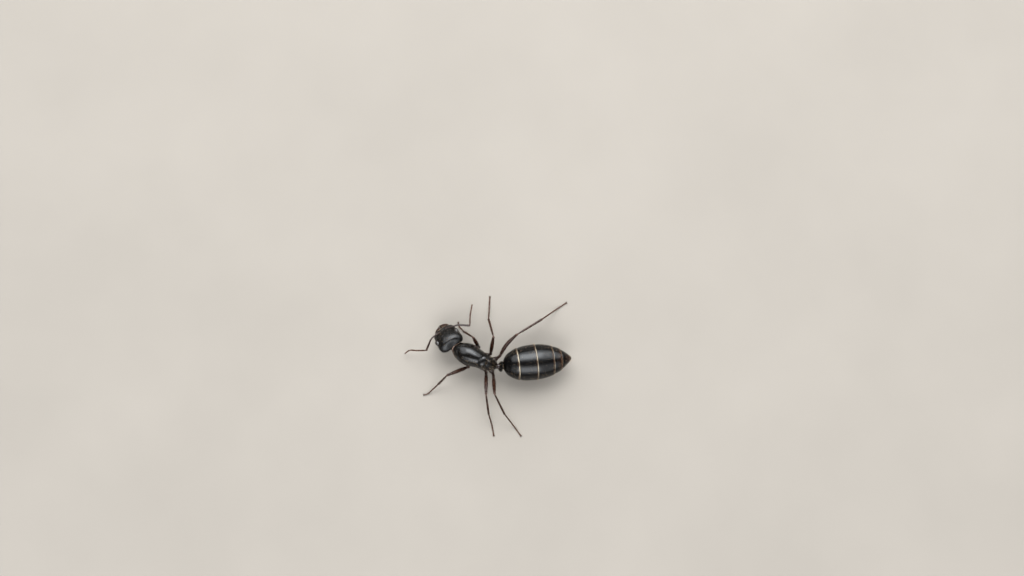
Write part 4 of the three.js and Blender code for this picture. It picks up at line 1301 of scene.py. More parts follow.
# ---- mouthparts under the head: labrum, maxillae, labium, and the two pairs of palps
def mouthparts():
    out = []
    lump = lambda c, r, rot=None, sq=2.3: out.append(ball(at_head.out(np.array(c)), r, at_head.r if rot is None else at_head.r @ rot, 26, 40, square=sq))
    lump((0, -1.36, -0.12), (0.34, 0.16, 0.07))
    lump((0, -1.02, -0.545), (0.17, 0.27, 0.10), turn(0, -6))
    lump((0, -1.30, -0.50), (0.11, 0.10, 0.07))
    for s in (1, -1):
        lump((0.30 * s, -0.98, -0.53), (0.12, 0.32, 0.10), turn(9 * s, -6))
        lump((0.30 * s, -1.30, -0.46), (0.10, 0.12, 0.06), turn(14 * s, -6))
    for s in (1, -1):
        path = [(0.38, -1.14, -0.58), (0.46, -1.08, -0.72), (0.50, -0.86, -0.84), (0.47, -0.58, -0.90), (0.42, -0.28, -0.93), (0.38, -0.02, -0.94)]
        out += palp([np.array(q) * [s, 1, 1] for q in path], 6, 0.036)
        path = [(0.10, -1.24, -0.56), (0.13, -1.12, -0.68), (0.16, -0.92, -0.76), (0.15, -0.72, -0.80)]
        out += palp([np.array(q) * [s, 1, 1] for q in path], 4, 0.030)
    return out


def palp(points, joints, radius):
    path = Line([at_head.out(q) for q in points])
    cut = np.linspace(0, path.length, joints + 1)
    made = []
    for i in range(joints):
        length = cut[i + 1] - cut[i]
        r = knuckled(radius * (1 - 0.06 * i), length, 0.55, 1.08, swell=0.12, close=0.8)
        made.append(Limb(path, cut[i] - 0.008, cut[i + 1] + 0.006, r, r, (0, 0, 1)).part(22, 16))
    return made


piece("mouthparts", mouthparts(), JAW_BROWN)


# ================================================================== petiole and gaster
def petiole_relief(p, n, a, y):
    x, z = p[..., 0], p[..., 2]
    out = -0.05 * bell(x, 0.14) * ramp(z, 0.75, 1.05)
    out += 0.03 * bell(np.hypot(y + 0.12, z - 0.1) / 0.12, 1.0) * 0
    out -= 0.03 * bell(y + 0.30, 0.07)
    out -= 0.03 * bell(y - 0.30, 0.06)
    out += 0.05 * bell(x, 0.10) * ramp(-n[..., 2], 0.5, 0.95)
    return out


def petiole_warp(p):
    """The scale thins towards its crest and stands a little forward."""
    q = p.copy()
    z = p[..., 2]
    up = ramp(z, 0.1, 1.0)
    q[..., 1] = p[..., 1] * (1 - 0.18 * up) + 0.02 * up
    q[..., 0] = p[..., 0] * (1 + 0.06 * bell(z - 0.35, 0.35))
    return q


scale = Skin(petiole_shape, at_petiole, petiole_relief, petiole_warp)


def stalks():
    """The scale's stalk in front of it and behind it, ribbed where they turn in their sockets."""
    front = at_thorax.out(np.array([0, 2.36, -0.50]))
    middle = at_petiole.out(np.array([0, 0.0, -0.10]))
    back = at_gaster.out(np.array([0, 0.16, -0.05]))
    out = []
    for a, b, r in ((front, middle, 0.265), (middle, back, 0.30)):
        line = Line([a, a + (b - a) * 0.33, a + (b - a) * 0.66, b])
        rad = lambda u, r=r: r * (1.06 + 0.05 * bell(u - 0.30, 0.05) - 0.05 * bell(u - 0.42, 0.06) + 0.08 * bell(u - 0.62, 0.08))
        out.append(Limb(line, 0, line.length, rad, lambda u, rad=rad: rad(u) * 1.02, (0, 0, 1)).part(90, 60, dict(brown=lambda u, a: 0.3 + 0 * u)))
    return out


piece("petiole_scale", [closed(scale, 170, 140, dict(brown=lambda a, y: 0.25 * ramp(-np.sin(a), 0, 1)))] + stalks(), BLACK, ["petiole"])

SEAM = math.radians(-27)  # where the back plates overlap the belly plates


def gaster_relief(p, n, a, y):
    b = np.mod(a + PI / 2, 2 * PI) - PI / 2  # -90 .. 270 degrees
    out = np.zeros(p.shape[:-1])
    w, h, c = gaster_shape(y)
    for seam in (SEAM, PI - SEAM):
        d = (b - seam) * (1 if seam == SEAM else -1) * w
        wave = 0.03 * np.sin(y * 2.1)
        d = d + wave
        # above the seam the back plate stands proud, below it the belly plate is tucked in
        out += -0.050 * (1 - ramp(d, -0.012, 0.016)) * ramp(d, -1.1, -0.25) * (d < 0.2) * 1.0
        out += -0.030 * bell(d + 0.022, 0.022)
    # very faint hollows and swells along each plate
    t = y / GASTER_LENGTH
    out += 0.006 * np.sin(3 * b + 1.3 * y) * ramp(np.sin(b), -0.2, 0.5)
    return out


belly = Skin(gaster_shape, at_gaster, gaster_relief)
focus = fan(2.2, [2 * PI + SEAM, PI - SEAM], 0.10)


def gaster_plate(i):
    L = GASTER_LENGTH
    first, last = i == 0, i == 4
    start = gaster_shape.lo + 0.02 if first else GASTER_RINGS[i] * L - 0.20
    end = GASTER_RINGS[i + 1] * L + 0.012 if not last else gaster_shape.hi - 0.015
    margin = lambda a: end - (0.0 if last else 0.05 * np.cos(2 * a) + 0.03 * np.maximum(-np.sin(a), 0))
    # the front of each plate slides under the one before it
    tuck = lambda y: 0.0 if first else 0.042 * (1 - ramp(y, GASTER_RINGS[i] * L - 0.03, GASTER_RINGS[i] * L + 0.16))

    def lift(t, a, y):
        m = margin(a)
        rise = 0.0 if last else 0.022 * ramp(y, m - 0.9, m) - 0.008 * ramp(y, m - 0.14, m - 0.08)
        return rise - tuck(y)

    # the whitish hind margin of each plate: its own thin edge, with a painted highlight in it
    def pale(a, y, t, depth):
        if last:
            return np.zeros(y.shape)
        d = margin(a) - y
        wide = (0.10, 0.092, 0.06, 0.05, 0.05)[i] + 0.02 * np.sin(11 * a + i) + 0.012 * np.sin(29 * a + 2 * i)
        edge = (1 - ramp(d, 0.25 * wide, wide * 1.25)) * (depth < 0.03)
        # painted light: the margin fades along the back's middle line, where the dark reflection of the gap between the
        # lamps lies, and on the flanks, which lie in shade
        share = (1 - 0.72 * bell(np.cos(a), 0.13)) * (1 - 0.75 * ramp(np.abs(np.cos(a)), 0.58, 0.88))
        return edge * share * (1.0, 0.88, 0.42, 0.2)[i]

    def brown(a, y, t, depth):
        d = margin(a) - y
        base = 0.0 * y
        if last:
            base = 0.42 * ramp(y, end - 0.9, end - 0.1)
        if i == 3:
            base = 0.25 * ramp(y, end - 0.6, end)
        return np.clip(base + (0.55 * bell(d - 0.10, 0.07) if not last else 0) + 0.3 * ramp(-np.sin(a), 0.5, 1.0), 0, 1)

    rows = [135, 170, 160, 90, 110][i]
    return shell(belly, start, margin if not last else end, 330, rows, (0.05, 0.014 if not last else 0.04), (0.12, 0.14 if not last else 0.06), dict(pale=pale, brown=brown), focus=focus, lift=lift)


for i in range(5):
    piece("gaster_plate_%d" % (i + 1), [gaster_plate(i)], GASTER_BLACK, ["gaster_%d" % (i + 1)])


# ================================================================== legs
def bearing(degrees, plan, rise):
    w = math.radians(degrees)
    return np.array([plan * math.cos(w), plan * math.sin(w), rise])


def reach(long, high):
    return math.sqrt(long * long - high * high)


def segment_tone(middle, near_end, far_end, reach_in=0.08):
    """Brown share along a segment, more at its joints, with soft blotches."""

    def f(u, a):
        mottle = 0.06 * np.sin(9 * u + 2 * a) + 0.05 * np.sin(23 * u - 3 * a)
        return np.clip(middle + near_end * (1 - ramp(u, 0, reach_in)) + far_end * ramp(u, 1 - reach_in, 1) + mottle, 0, 1)

    return f


def claw(at, along, up, side, sign, size):
    """One curved claw with a broad base."""
    pts = [(0, 0.02), (0.45, 0.16), (0.85, 0.10), (1.0, -0.16)]
    out = [np.asarray(at) + size * (along * x + up * z + side * sign * (0.25 + 0.42 * x)) for x, z in pts]
    return horn(out, size * 0.20, 12, 18, side, dict(brown=lambda u, a: 0.2 + 0 * u))


BOWED = dict(hind_right=(-0.16, -0.20, 0.0))  # how far the middle of a femur stands off the straight line


def leg(name):
    pair = name.split("_")[0]
    size = LEG_PAIRS[pair]
    root, hip, femur_b, rise, tibia_b, drop, tarsus_b, sole_b = LEGS[name]
    root, hip = at_thorax.out(np.array(root)), at_thorax.out(np.array(hip))
    knee = hip + bearing(femur_b, reach(size["femur"], rise), rise)
    ankle = knee + bearing(tibia_b, reach(size["tibia"], drop), -drop)
    fall = ankle[2] - SOLE
    heel = ankle + bearing(tarsus_b, reach(size["tarsus"] - size["sole"], fall), -fall)
    toe = heel + bearing(sole_b, size["sole"] * 1.06, 0)
    middle = (hip + knee) / 2 + BOWED.get(name, (0.0, 0.0, 0.03))
    path = Route([hip, middle, knee, ankle, heel, toe], [6.0, 0.10, 0.16, 0.95])
    side = unit(np.cross(knee - hip, ankle - knee))
    bend, foot = path.mark[2], path.mark[3]
    out = {}

    # coxa: a tapering cone that leans back under the trunk, ridged at its root
    thigh = Line([root - (hip - root) * 0.10, root + (hip - root) * 0.3 + np.array([0, 0, 0.02]), root + (hip - root) * 0.7, hip + (hip - root) * 0.02])
    L = thigh.length
    c = size["coxa"]

    def coxa_r(u):
        body = c * (0.80 + 0.24 * bell(u - 0.34, 0.26)) * (1 - 0.50 * ramp(u, 0.38, 1.0))
        collar_ = 1 - 0.16 * bell(u - 0.115, 0.028) + 0.05 * bell(u - 0.17, 0.03)
        rim = 1 + 0.10 * bell(u - 0.94, 0.03)
        round_ = np.sqrt(np.clip(1 - ((0.06 - u) / 0.06).clip(0, 1) ** 2, 0.02, 1)) * np.sqrt(np.clip(1 - ((u - 0.955) / 0.045).clip(0, 1) ** 2, 0.02, 1))
        return body * collar_ * rim * round_

    cox = Limb(thigh, 0, L, coxa_r, lambda u: coxa_r(u) * 0.92, (0, 0, 1))
    out["coxa"] = [cox.part(90, 48, dict(brown=segment_tone(0.05, 0.5, 0.55, 0.1)))]

    # trochanter: a short ring-necked knob, cut slantwise
    t_end = 0.30
    tro_r = lambda u: 0.152 * (1 + 0.16 * bell(u - 0.55, 0.3)) * np.sqrt(np.clip(1 - ((0.28 - u) / 0.28).clip(0, 1) ** 2, 0.05, 1)) * np.sqrt(np.clip(1 - ((u - 0.86) / 0.14).clip(0, 1) ** 2, 0.05, 1))
    tro = Limb(path, -0.10, t_end, tro_r, lambda u: tro_r(u) * 1.05, side)
    out["coxa"].append(tro.part(40, 36, dict(brown=segment_tone(0.30, 0.4, 0.4, 0.2))))

    # femur: flattened, thickest before its middle, with two lobes round the knee
    f0, f1 = 0.22, bend + 0.055
    L = f1 - f0
    fat = dict(front=1.0, middle=0.98, hind=0.95)[pair]

    def femur_r(k):
        def f(u):
            r = 0.120 + 0.114 * fat * np.sin(PI * np.clip(u, 0, 1) ** 0.72) ** 0.85
            r = r + 0.030 * bell(u - 0.965, 0.030) + 0.014 * bell(u - 0.015, 0.02) - 0.012 * bell(u - 0.055, 0.018)
            tips = np.sqrt(np.clip(1 - ((0.035 - u) / 0.035).clip(0, 1) ** 2, 0.03, 1)) * np.sqrt(np.clip(1 - ((u - 0.972) / 0.028).clip(0, 1) ** 2, 0.03, 1))
            return r * tips * k

        return f

    fem = Limb(path, f0, f1, femur_r(0.90), femur_r(1.06), side)
    out["femur"] = [fem.part(150, 40, dict(brown=segment_tone(0.22, 0.45, 0.6, 0.06)))]

    # tibia: a bent neck in the knee, a shaft that widens downwards, a cup at its end
    t0, t1 = bend + 0.015, foot + 0.03
    L = t1 - t0

    def tibia_r(k):
        def f(u):
            r = 0.088 + 0.036 * ramp(u, 0.02, 0.30) + 0.012 * ramp(u, 0.3, 0.9) + 0.012 * bell(u - 0.965, 0.02)
            r = r - 0.016 * bell(u - 0.055, 0.022) + 0.012 * bell(u - 0.015, 0.02)
            tips = np.sqrt(np.clip(1 - ((0.03 - u) / 0.03).clip(0, 1) ** 2, 0.03, 1)) * np.sqrt(np.clip(1 - ((u - 0.980) / 0.020).clip(0, 1) ** 2, 0.03, 1))
            return r * tips * k

        return f

    tib = Limb(path, t0, t1, tibia_r(0.90), tibia_r(1.05), side)
    out["tibia"] = [tib.part(130, 34, dict(brown=segment_tone(0.30, 0.45, 0.45, 0.07)))]
    # spurs at the end of the tibia: one comb-like, bent in the front pair
    p, t = path(np.array([t1 - 0.07]))
    p, t = p[0], t[0]
    inner = np.cross(side, t)
    if pair == "front":
        pts = [p + inner * 0.07, p + t * 0.12 + inner * 0.20, p + t * 0.34 + inner * 0.24, p + t * 0.55 + inner * 0.13]
        out["tibia"].append(horn(pts, 0.040, 14, 34, side, dict(brown=lambda u, a: 0.75 + 0 * u), flat=0.55))
    else:
        pts = [p + inner * 0.08, p + t * 0.16 + inner * 0.15, p + t * 0.42 + inner * 0.19]
        out["tibia"].append(horn(pts, 0.026, 12, 24, side, dict(brown=lambda u, a: 0.75 + 0 * u)))

    # tarsus: a long first joint and four short ones, each flared and notched at its end
    s0, s1 = foot - 0.005, path.length - 0.16
    total = s1 - s0
    shares = np.array([0.43, 0.185, 0.13, 0.085, 0.17])
    cuts = s0 + total * np.r_[0, np.cumsum(shares)]
    out["tarsus"] = []
    joints = []
    for i in range(5):
        a0, a1 = cuts[i] - 0.02, cuts[i + 1] + 0.022
        n = a1 - a0
        big = (0.082, 0.076, 0.074, 0.072, 0.066)[i]

        def rad(u, big=big, n=n, i=i):
            start = 0.62 + 0.38 * ramp(u, 0.0, min(0.5, 0.22 / n))
            end = 1 + (0.16 if i < 4 else 0.05) * ramp(u, max(0.5, 1 - 0.16 / n), 1)
            tips = np.sqrt(np.clip(1 - ((0.03 / n - u) * n / 0.03).clip(0, 1) ** 2, 0.03, 1)) * np.sqrt(np.clip(1 - ((u - 1 + 0.03 / n) * n / 0.03).clip(0, 1) ** 2, 0.03, 1))
            return big * start * end * tips

        j = Limb(path, a0, a1, rad, lambda u, rad=rad: rad(u) * 0.96, side)
        joints.append(j)
        out["tarsus"].append(j.part(max(26, int(60 * n)), 24, dict(brown=segment_tone((0.45, 0.6, 0.65, 0.7, 0.75)[i], 0.2, 0.2, 0.15)), floor=0.004))
    # claws and the pad between them
    p, t = path(np.array([s1 - 0.01]))
    p, t = p[0], t[0]
    wide = unit(np.cross(t, (0, 0, 1)))
    up = np.cross(wide, t)
    for sign in (1, -1):
        out["tarsus"].append(claw(p - np.array([0, 0, 0.0]), t, up, wide, sign, 0.17))
    out["tarsus"].append(ball(p + t * 0.07 - up * 0.02, (0.045, 0.075, 0.032), turn(math.degrees(math.atan2(-t[0], t[1])), 0), 16, 22, dict(brown=lambda d: 0.9 + 0 * d[..., 0])))

    # skin in the joints
    out["coxa"].append(ball(root + (root - hip) * 0.06, (c * 0.70, c * 0.70, c * 0.5), None, 24, 34, mat=1))
    out["tibia"].append(ball(path(np.array([bend]))[0][0], (0.07, 0.07, 0.07), None, 16, 24, mat=1))
    for s in cuts[:-1]:
        out["tarsus"].append(ball(path(np.array([s]))[0][0], (0.045, 0.045, 0.045), None, 12, 16, mat=1))
    limbs = dict(coxa=cox, trochanter=tro, femur=fem, tibia=tib)
    return out, limbs, joints, path, side


LEG_LIMBS = {}
LIMB = [LIMB_BROWN, MEMBRANE]
for name in LEGS:
    made, limbs, joints, path, side = leg(name)
    LEG_LIMBS[name] = (limbs, joints, path, side)
    label = "leg_" + name + "_"
    piece(label + "coxa_shell", made["coxa"], LIMB, [label + "coxa"])
    piece(label + "femur_shell", made["femur"], LIMB_BROWN, [label + "femur"])
    piece(label + "tibia_shell", made["tibia"], LIMB, [label + "tibia"])
    piece(label + "tarsus_joints", made["tarsus"], LIMB, [label + "tarsus"])


# ================================================================== feelers
def feeler(sideways):
    sign = 1 if sideways == "left" else -1
    bow, elbow, rest = ANTENNAE[sideways]
    shift = np.array([*CENTRE, 0])
    start = at_head.out(SOCKET_AT * np.array([sign, 1, 1]) - np.array([0, 0, 0.06]))
    pts = [start, np.array(bow) + shift, np.array(elbow) + shift] + [np.array(q) + shift for q in rest]
    path = Route(pts, [1.2, 0.09] + [1.2] * (len(pts) - 4))
    side = unit(np.cross(pts[2] - pts[1], pts[3] - pts[2]))
    e = path.mark[2]
    knob = ball(start, (0.098, 0.098, 0.098), None, 26, 36, dict(brown=lambda d: 0.35 + 0 * d[..., 0]))

    def scape_r(u):
        r = 0.074 + 0.040 * ramp(u, 0.04, 0.85) + 0.010 * bell(u - 0.965, 0.022)
        r = r - 0.018 * bell(u - 0.045, 0.022)
        tips = np.sqrt(np.clip(1 - ((0.03 - u) / 0.03).clip(0, 1) ** 2, 0.03, 1)) * np.sqrt(np.clip(1 - ((u - 0.975) / 0.025).clip(0, 1) ** 2, 0.03, 1))
        return r * tips

    scape = Limb(path, 0.04, e + 0.05, scape_r, lambda u: scape_r(u) * 0.94, side)
    base = [knob, scape.part(140, 34, dict(brown=segment_tone(0.12, 0.3, 0.45, 0.08)))]
    s0, s1 = e + 0.01, path.length
    total = s1 - s0
    shares = np.array([0.085, 0.105, 0.10, 0.098, 0.096, 0.094, 0.09, 0.088, 0.084, 0.08, 0.115])
    shares = shares / shares.sum()
    cuts = s0 + total * np.r_[0, np.cumsum(shares)]
    parts, joints = [], []
    for i in range(11):
        a0, a1 = cuts[i] - 0.014, cuts[i + 1] + (0.014 if i < 10 else 0)
        n = a1 - a0
        big = 0.086 - 0.0012 * i

        def rad(u, big=big, n=n, i=i):
            narrow = 0.55 if i == 0 else 0.70
            start = narrow + (1 - narrow) * ramp(u, 0.0, 0.35 if i else 0.8)
            end = 1 - 0.06 * ramp(u, 0.8, 1)
            tip = 0.03 if i < 10 else 0.2
            tips = np.sqrt(np.clip(1 - ((0.025 / n - u) * n / 0.025).clip(0, 1) ** 2, 0.03, 1)) * np.sqrt(np.clip(1 - ((u - 1 + tip / n) * n / tip).clip(0, 1) ** 2, 0.01, 1))
            return big * start * end * tips

        j = Limb(path, a0, a1, rad, rad, side)
        joints.append(j)
        parts.append(j.part(34, 26, dict(brown=segment_tone(0.45 + 0.045 * i, 0.15, 0.25, 0.2))))
    parts += [ball(path(np.array([s]))[0][0], (0.05, 0.05, 0.05), None, 12, 16, mat=1) for s in cuts[:-1]]
    return base, parts, scape, joints, path, side


FEELERS = {}
for sideways in ("left", "right"):
    base, parts, scape, joints, path, side = feeler(sideways)
    FEELERS[sideways] = (scape, joints, path, side)
    piece("feeler_%s_scape" % sideways, base, LIMB_BROWN, ["antenna_%s_scape" % sideways])
    piece("feeler_%s_joints" % sideways, parts, LIMB, ["antenna_%s_funiculus" % sideways])


# ================================================================== soft skin between the plates
def neck_and_waist():
    out = []
    # neck: from the hole at the back of the head into the trunk's front
    a = at_head.out(np.array([0, 1.05, -0.25]))
    b = at_thorax.out(np.array([0, -2.35, -0.10]))
    line = Line([a, (a * 2 + b) / 3 + [0, 0, 0.0], (a + 2 * b) / 3, b])
    folds = lambda u: 0.33 * (1 + 0.05 * np.cos(2 * PI * 6 * u))
    out.append(Limb(line, 0, line.length, folds, lambda u: folds(u) * 0.8, (0, 0, 1)).part(70, 44))
    # before and behind the scale
    a = at_thorax.out(np.array([0, 2.30, -0.42]))
    m = at_petiole.out(np.array([0, 0, -0.05]))
    b = at_gaster.out(np.array([0, 0.30, -0.05]))
    for p, q, r in ((a, m, 0.20), (m, b, 0.22)):
        line = Line([p, p + (q - p) * 0.35, p + (q - p) * 0.7, q])
        ring = lambda u, r=r: r * (1 + 0.05 * np.cos(2 * PI * 5 * u))
        out.append(Limb(line, 0, line.length, ring, lambda u: ring(u) * 0.95, (0, 0, 1)).part(60, 44))
    return out


neck, *waist_skins = neck_and_waist()
piece("neck_membrane", [neck], MEMBRANE)
piece("waist_membranes", waist_skins, MEMBRANE)


# ================================================================== hairs
def spots(u, v, box):
    """Places on a body's own map, inside this part's share of it."""
    return np.stack([box[0] + (box[2] - box[0]) * (0.01 + 0.98 * u), box[1] + (box[3] - box[1]) * (0.01 + 0.98 * v)], -1)


def limb_coat(limb, n, u0, u1, a_mid, a_wide, length, thick, lean, curl, tone, box, seed, rings=3, power=1.0):
    g = np.random.default_rng(seed)
    u = u0 + (u1 - u0) * g.uniform(0, 1, n) ** power
    a = math.radians(a_mid) + math.radians(a_wide) * g.uniform(-1, 1, n)
    p, nrm, t = limb.at(u, a)
    lie = t + 0.25 * np.cross(nrm, t) * g.normal(0, 1, n)[:, None]
    r = lambda c, s: c * (1 + g.uniform(-s, s, n))
    return hairs(p, nrm, lie, r(length, 0.25), r(thick, 0.15), r(lean, 0.2), r(curl, 0.4), spots((a / (2 * PI)) % 1, u, box), rings=rings, tone=tone * np.ones(n))


def coat_on_faces(part, n, seed, keep, lie, length, thick, lean, curl, tone, box, rings=4):
    """Hairs on any part, at random faces by area; keep and lie are given places."""
    g = np.random.default_rng(seed)
    q = part.v[part.quads]
    d = np.cross(q[:, 2] - q[:, 0], q[:, 3] - q[:, 1])
    area = np.linalg.norm(d, axis=1)
    c = q.mean(1)
    w = area * keep(c, unit(d))
    pick = g.choice(len(q), n, p=w / w.sum())
    p, nrm = c[pick], unit(d[pick])
    m = part.quv[pick].mean(1)
    r = lambda k, s: k * (1 + g.uniform(-s, s, n))
    way = lie(p) + 0.25 * g.normal(0, 1, (n, 3))
    return hairs(p, nrm, way, r(length, 0.3), r(thick, 0.15), r(lean, 0.25), r(curl, 0.4), spots(m[:, 0], m[:, 1], box), rings=rings, tone=tone * np.ones(n))


def at_row(skin, y, a_low, a_high, n, seed, wobble=0.03):
    """Places in a loose row across a body at one station."""
    g = np.random.default_rng(seed)
    a = np.radians(np.linspace(a_low, a_high, n)) + g.normal(0, 0.03, n)
    return a, y + g.normal(0, wobble, n)


# ---- head: bristles on the brow, the crown, the shield over the mouth and the throat
def off_eyes(p, a, y):
    ok = np.ones(p.shape[:-1])
    for s in (1, -1):
        e = (p - np.array([EYE["at"][0] * s, EYE["at"][1], EYE["at"][2]])) @ (eye_turn if s > 0 else np.diag([-1, 1, 1]) @ eye_turn)
        ok = ok * (np.linalg.norm(e / np.array(EYE["radii"]), axis=-1) > 1.25)
        ok = ok * (np.linalg.norm(p - SOCKET_AT * np.array([s, 1, 1]), axis=-1) > 0.22)
    for ox, oy, r in OCELLI:
        ok = ok * (np.hypot(p[..., 0] - ox, p[..., 1] - oy) > 0.12)
    return ok


def head_hairs():
    out = []
    full = (0, 0, 1, 1)
    top = lambda p, a, y: off_eyes(p, a, y) * ramp(np.sin(a), 0.35, 0.7) * (0.35 + 0.65 * bell(np.abs(p[..., 0]) - 0.35, 0.25))
    a, y = scatter(skull, 64, -1.1, 0.95, top, 31)
    out.append(coat_on(skull, a, y, 0.24, 0.0085, 0.35, 0.7, 0.35, full, seed=32))
    # small hairs lying flat, towards the brow
    a, y = scatter(skull, 1100, -1.15, 1.0, lambda p, a, y: off_eyes(p, a, y) * (0.4 + 0.6 * ramp(np.sin(a), -0.4, 0.3)), 33)
    out.append(coat_on(skull, a, y, 0.085, 0.0030, 1.18, 0.28, 0.5, full, back=-1.0, seed=34, rings=2))
    out[-1].mat = 1
    # fringe of the shield, hanging over the jaws
    g = np.random.default_rng(35)
    x = np.linspace(-0.52, 0.52, 22) + g.normal(0, 0.012, 22)
    yy = -1.335 + 0.02 * g.normal(0, 1, 22)
    a = head_bare.angle(x, yy, "top")
    out.append(coat_on(skull, a, yy, 0.22, 0.0075, 0.8, 0.9, 0.3, full, back=-1.0, seed=36))
    x = np.r_[np.linspace(-0.42, -0.12, 6), np.linspace(0.12, 0.42, 6)] + g.normal(0, 0.02, 12)
    yy = -1.05 + 0.05 * g.normal(0, 1, 12)
    a = head_bare.angle(x, yy, "top")
    out.append(coat_on(skull, a, yy, 0.24, 0.0085, 0.4, 0.6, 0.3, full, back=-1.0, seed=37))
    # throat
    a, y = scatter(skull, 34, -0.55, 0.9, lambda p, a, y: ramp(-np.sin(a), 0.55, 0.85), 38)
    out.append(coat_on(skull, a, y, 0.25, 0.0080, 0.3, 0.8, 0.4, full, back=-1.0, seed=39))
    return out


def jaw_hairs():
    out = []
    for i, sign in enumerate((1, -1)):
        part = jaw(sign)
        front = at_head.turn(np.array([-0.25 * sign, -1.0, -0.1]))
        keep = lambda c, n: (at_head.back(c)[:, 1] < -1.25) * (0.25 + ramp((n @ at_head.r)[:, 2], 0.0, 0.5))
        out.append(coat_on_faces(part, 34, 40 + i, keep, lambda p: front + 0 * p, 0.15, 0.0065, 0.75, 0.7, 0.25, (0.5 * i, 0, 0.5 + 0.5 * i, 1)))
    return out


piece("bristles_head", head_hairs(), [HAIR_GOLD, HAIR_DARK], packed=True)
piece("bristles_jaws", jaw_hairs(), HAIR_GOLD, packed=True)


# ---- trunk
def trunk_hairs():
    out = []
    full = (0, 0, 1, 1)
    shut = lambda p, a, y: 1 - bell(np.hypot(p[..., 0] / 0.64, (y - 0.99) / 0.44), 1.15) * (np.sin(a) > 0)
    a, y = scatter(trunk, 34, -2.3, -1.5, lambda p, a, y: ramp(np.sin(a), 0.0, 0.6), 50)
    out.append(coat_on(trunk, a, y, 0.22, 0.0080, 0.30, 0.6, 0.35, full, seed=51))
    a, y = scatter(trunk, 62, -1.4, 0.50, lambda p, a, y: ramp(np.sin(a), 0.45, 0.8) * (0.3 + 0.7 * bell(np.abs(p[..., 0]) - 0.5, 0.22)), 52)
    out.append(coat_on(trunk, a, y, 0.21, 0.0080, 0.30, 0.6, 0.35, full, seed=53))
    a, y = scatter(trunk, 46, 1.25, 2.4, lambda p, a, y: ramp(np.sin(a), 0.0, 0.5), 54)
    out.append(coat_on(trunk, a, y, 0.25, 0.0085, 0.32, 0.6, 0.35, full, seed=55))
    a, y = scatter(trunk, 56, -1.5, 2.2, lambda p, a, y: ramp(-np.sin(a), -0.35, 0.7), 56)
    out.append(coat_on(trunk, a, y, 0.17, 0.0070, 0.55, 0.6, 0.4, full, seed=57))
    a, y = scatter(trunk, 1700, -2.35, 2.35, lambda p, a, y: shut(p, a, y) * (0.45 + 0.55 * ramp(-np.sin(a), -0.5, 0.5)), 58)
    out.append(coat_on(trunk, a, y, 0.085, 0.0030, 1.20, 0.26, 0.5, full, seed=59, rings=2))
    out[-1].mat = 1
    back = at_thorax.turn(np.array([0, 1.0, 0]))
    out.append(coat_on_faces(shield, 16, 60, lambda c, n: ramp(n[:, 2], 0.3, 0.7), lambda p: back + 0 * p, 0.21, 0.0080, 0.35, 0.6, 0.35, full))
    return out


piece("bristles_trunk", trunk_hairs(), [HAIR_GOLD, HAIR_DARK], packed=True)


# ---- scale and gaster
def scale_hairs():
    a, y = scatter(scale, 30, -0.22, 0.22, lambda p, a, y: ramp(p[..., 2], 0.1, 0.8), 70)
    return [coat_on(scale, a, y, 0.19, 0.0075, 0.25, 0.5, 0.35, (0, 0, 1, 1), seed=71)]


def clear_of_seams(p, a, y):
    ok = np.ones(np.shape(y))
    for r in GASTER_RINGS[1:5]:
        ok = ok * ((y < r * GASTER_LENGTH - 0.06) | (y > r * GASTER_LENGTH + 0.24))
    return ok


def gaster_hairs():
    out = []
    full = (0, 0, 1, 1)
    L = GASTER_LENGTH
    span = (0, L)
    for i, (n, long) in enumerate(((30, 0.23), (40, 0.25), (36, 0.27), (26, 0.28))):
        end = GASTER_RINGS[i + 1] * L
        a, y = at_row(belly, end - 0.20, -22, 202, n, 80 + i, 0.035)
        y = y - 0.05 * np.cos(2 * a)
        out.append(coat_on(belly, a, y, long, 0.0085, 0.62, 0.5, 0.3, full, seed=90 + i, span=span))
        a, y = at_row(belly, end - 0.20, 212, 328, 18, 100 + i, 0.04)
        out.append(coat_on(belly, a, y, long, 0.0080, 0.6, 0.5, 0.4, full, seed=110 + i, span=span))
    top = lambda p, a, y: clear_of_seams(p, a, y) * (0.35 + 0.65 * ramp(np.sin(a), -0.2, 0.6))
    a, y = scatter(belly, 190, 0.35, 0.97 * L, top, 120)
    out.append(coat_on(belly, a, y, 0.21, 0.0080, 0.60, 0.55, 0.35, full, seed=121, span=span))
    a, y = scatter(belly, 4200, 0.25, 0.975 * L, clear_of_seams, 122)
    out.append(coat_on(belly, a, y, 0.115, 0.0031, 1.22, 0.24, 0.5, full, seed=123, rings=2, span=span))
    out[-1].mat = 1
    # fringe round the tip
    g = np.random.default_rng(124)
    a = np.linspace(0, 2 * PI, 34, endpoint=False) + g.normal(0, 0.06, 34)
    y = 0.972 * L + g.normal(0, 0.03, 34)
    out.append(coat_on(belly, a, y, 0.24, 0.0075, 0.75, 0.35, 0.3, full, seed=125, span=span))
    return out


piece("bristles_scale", scale_hairs(), HAIR_GOLD, packed=True)
piece("bristles_gaster", gaster_hairs(), [HAIR_GOLD, HAIR_DARK], packed=True)


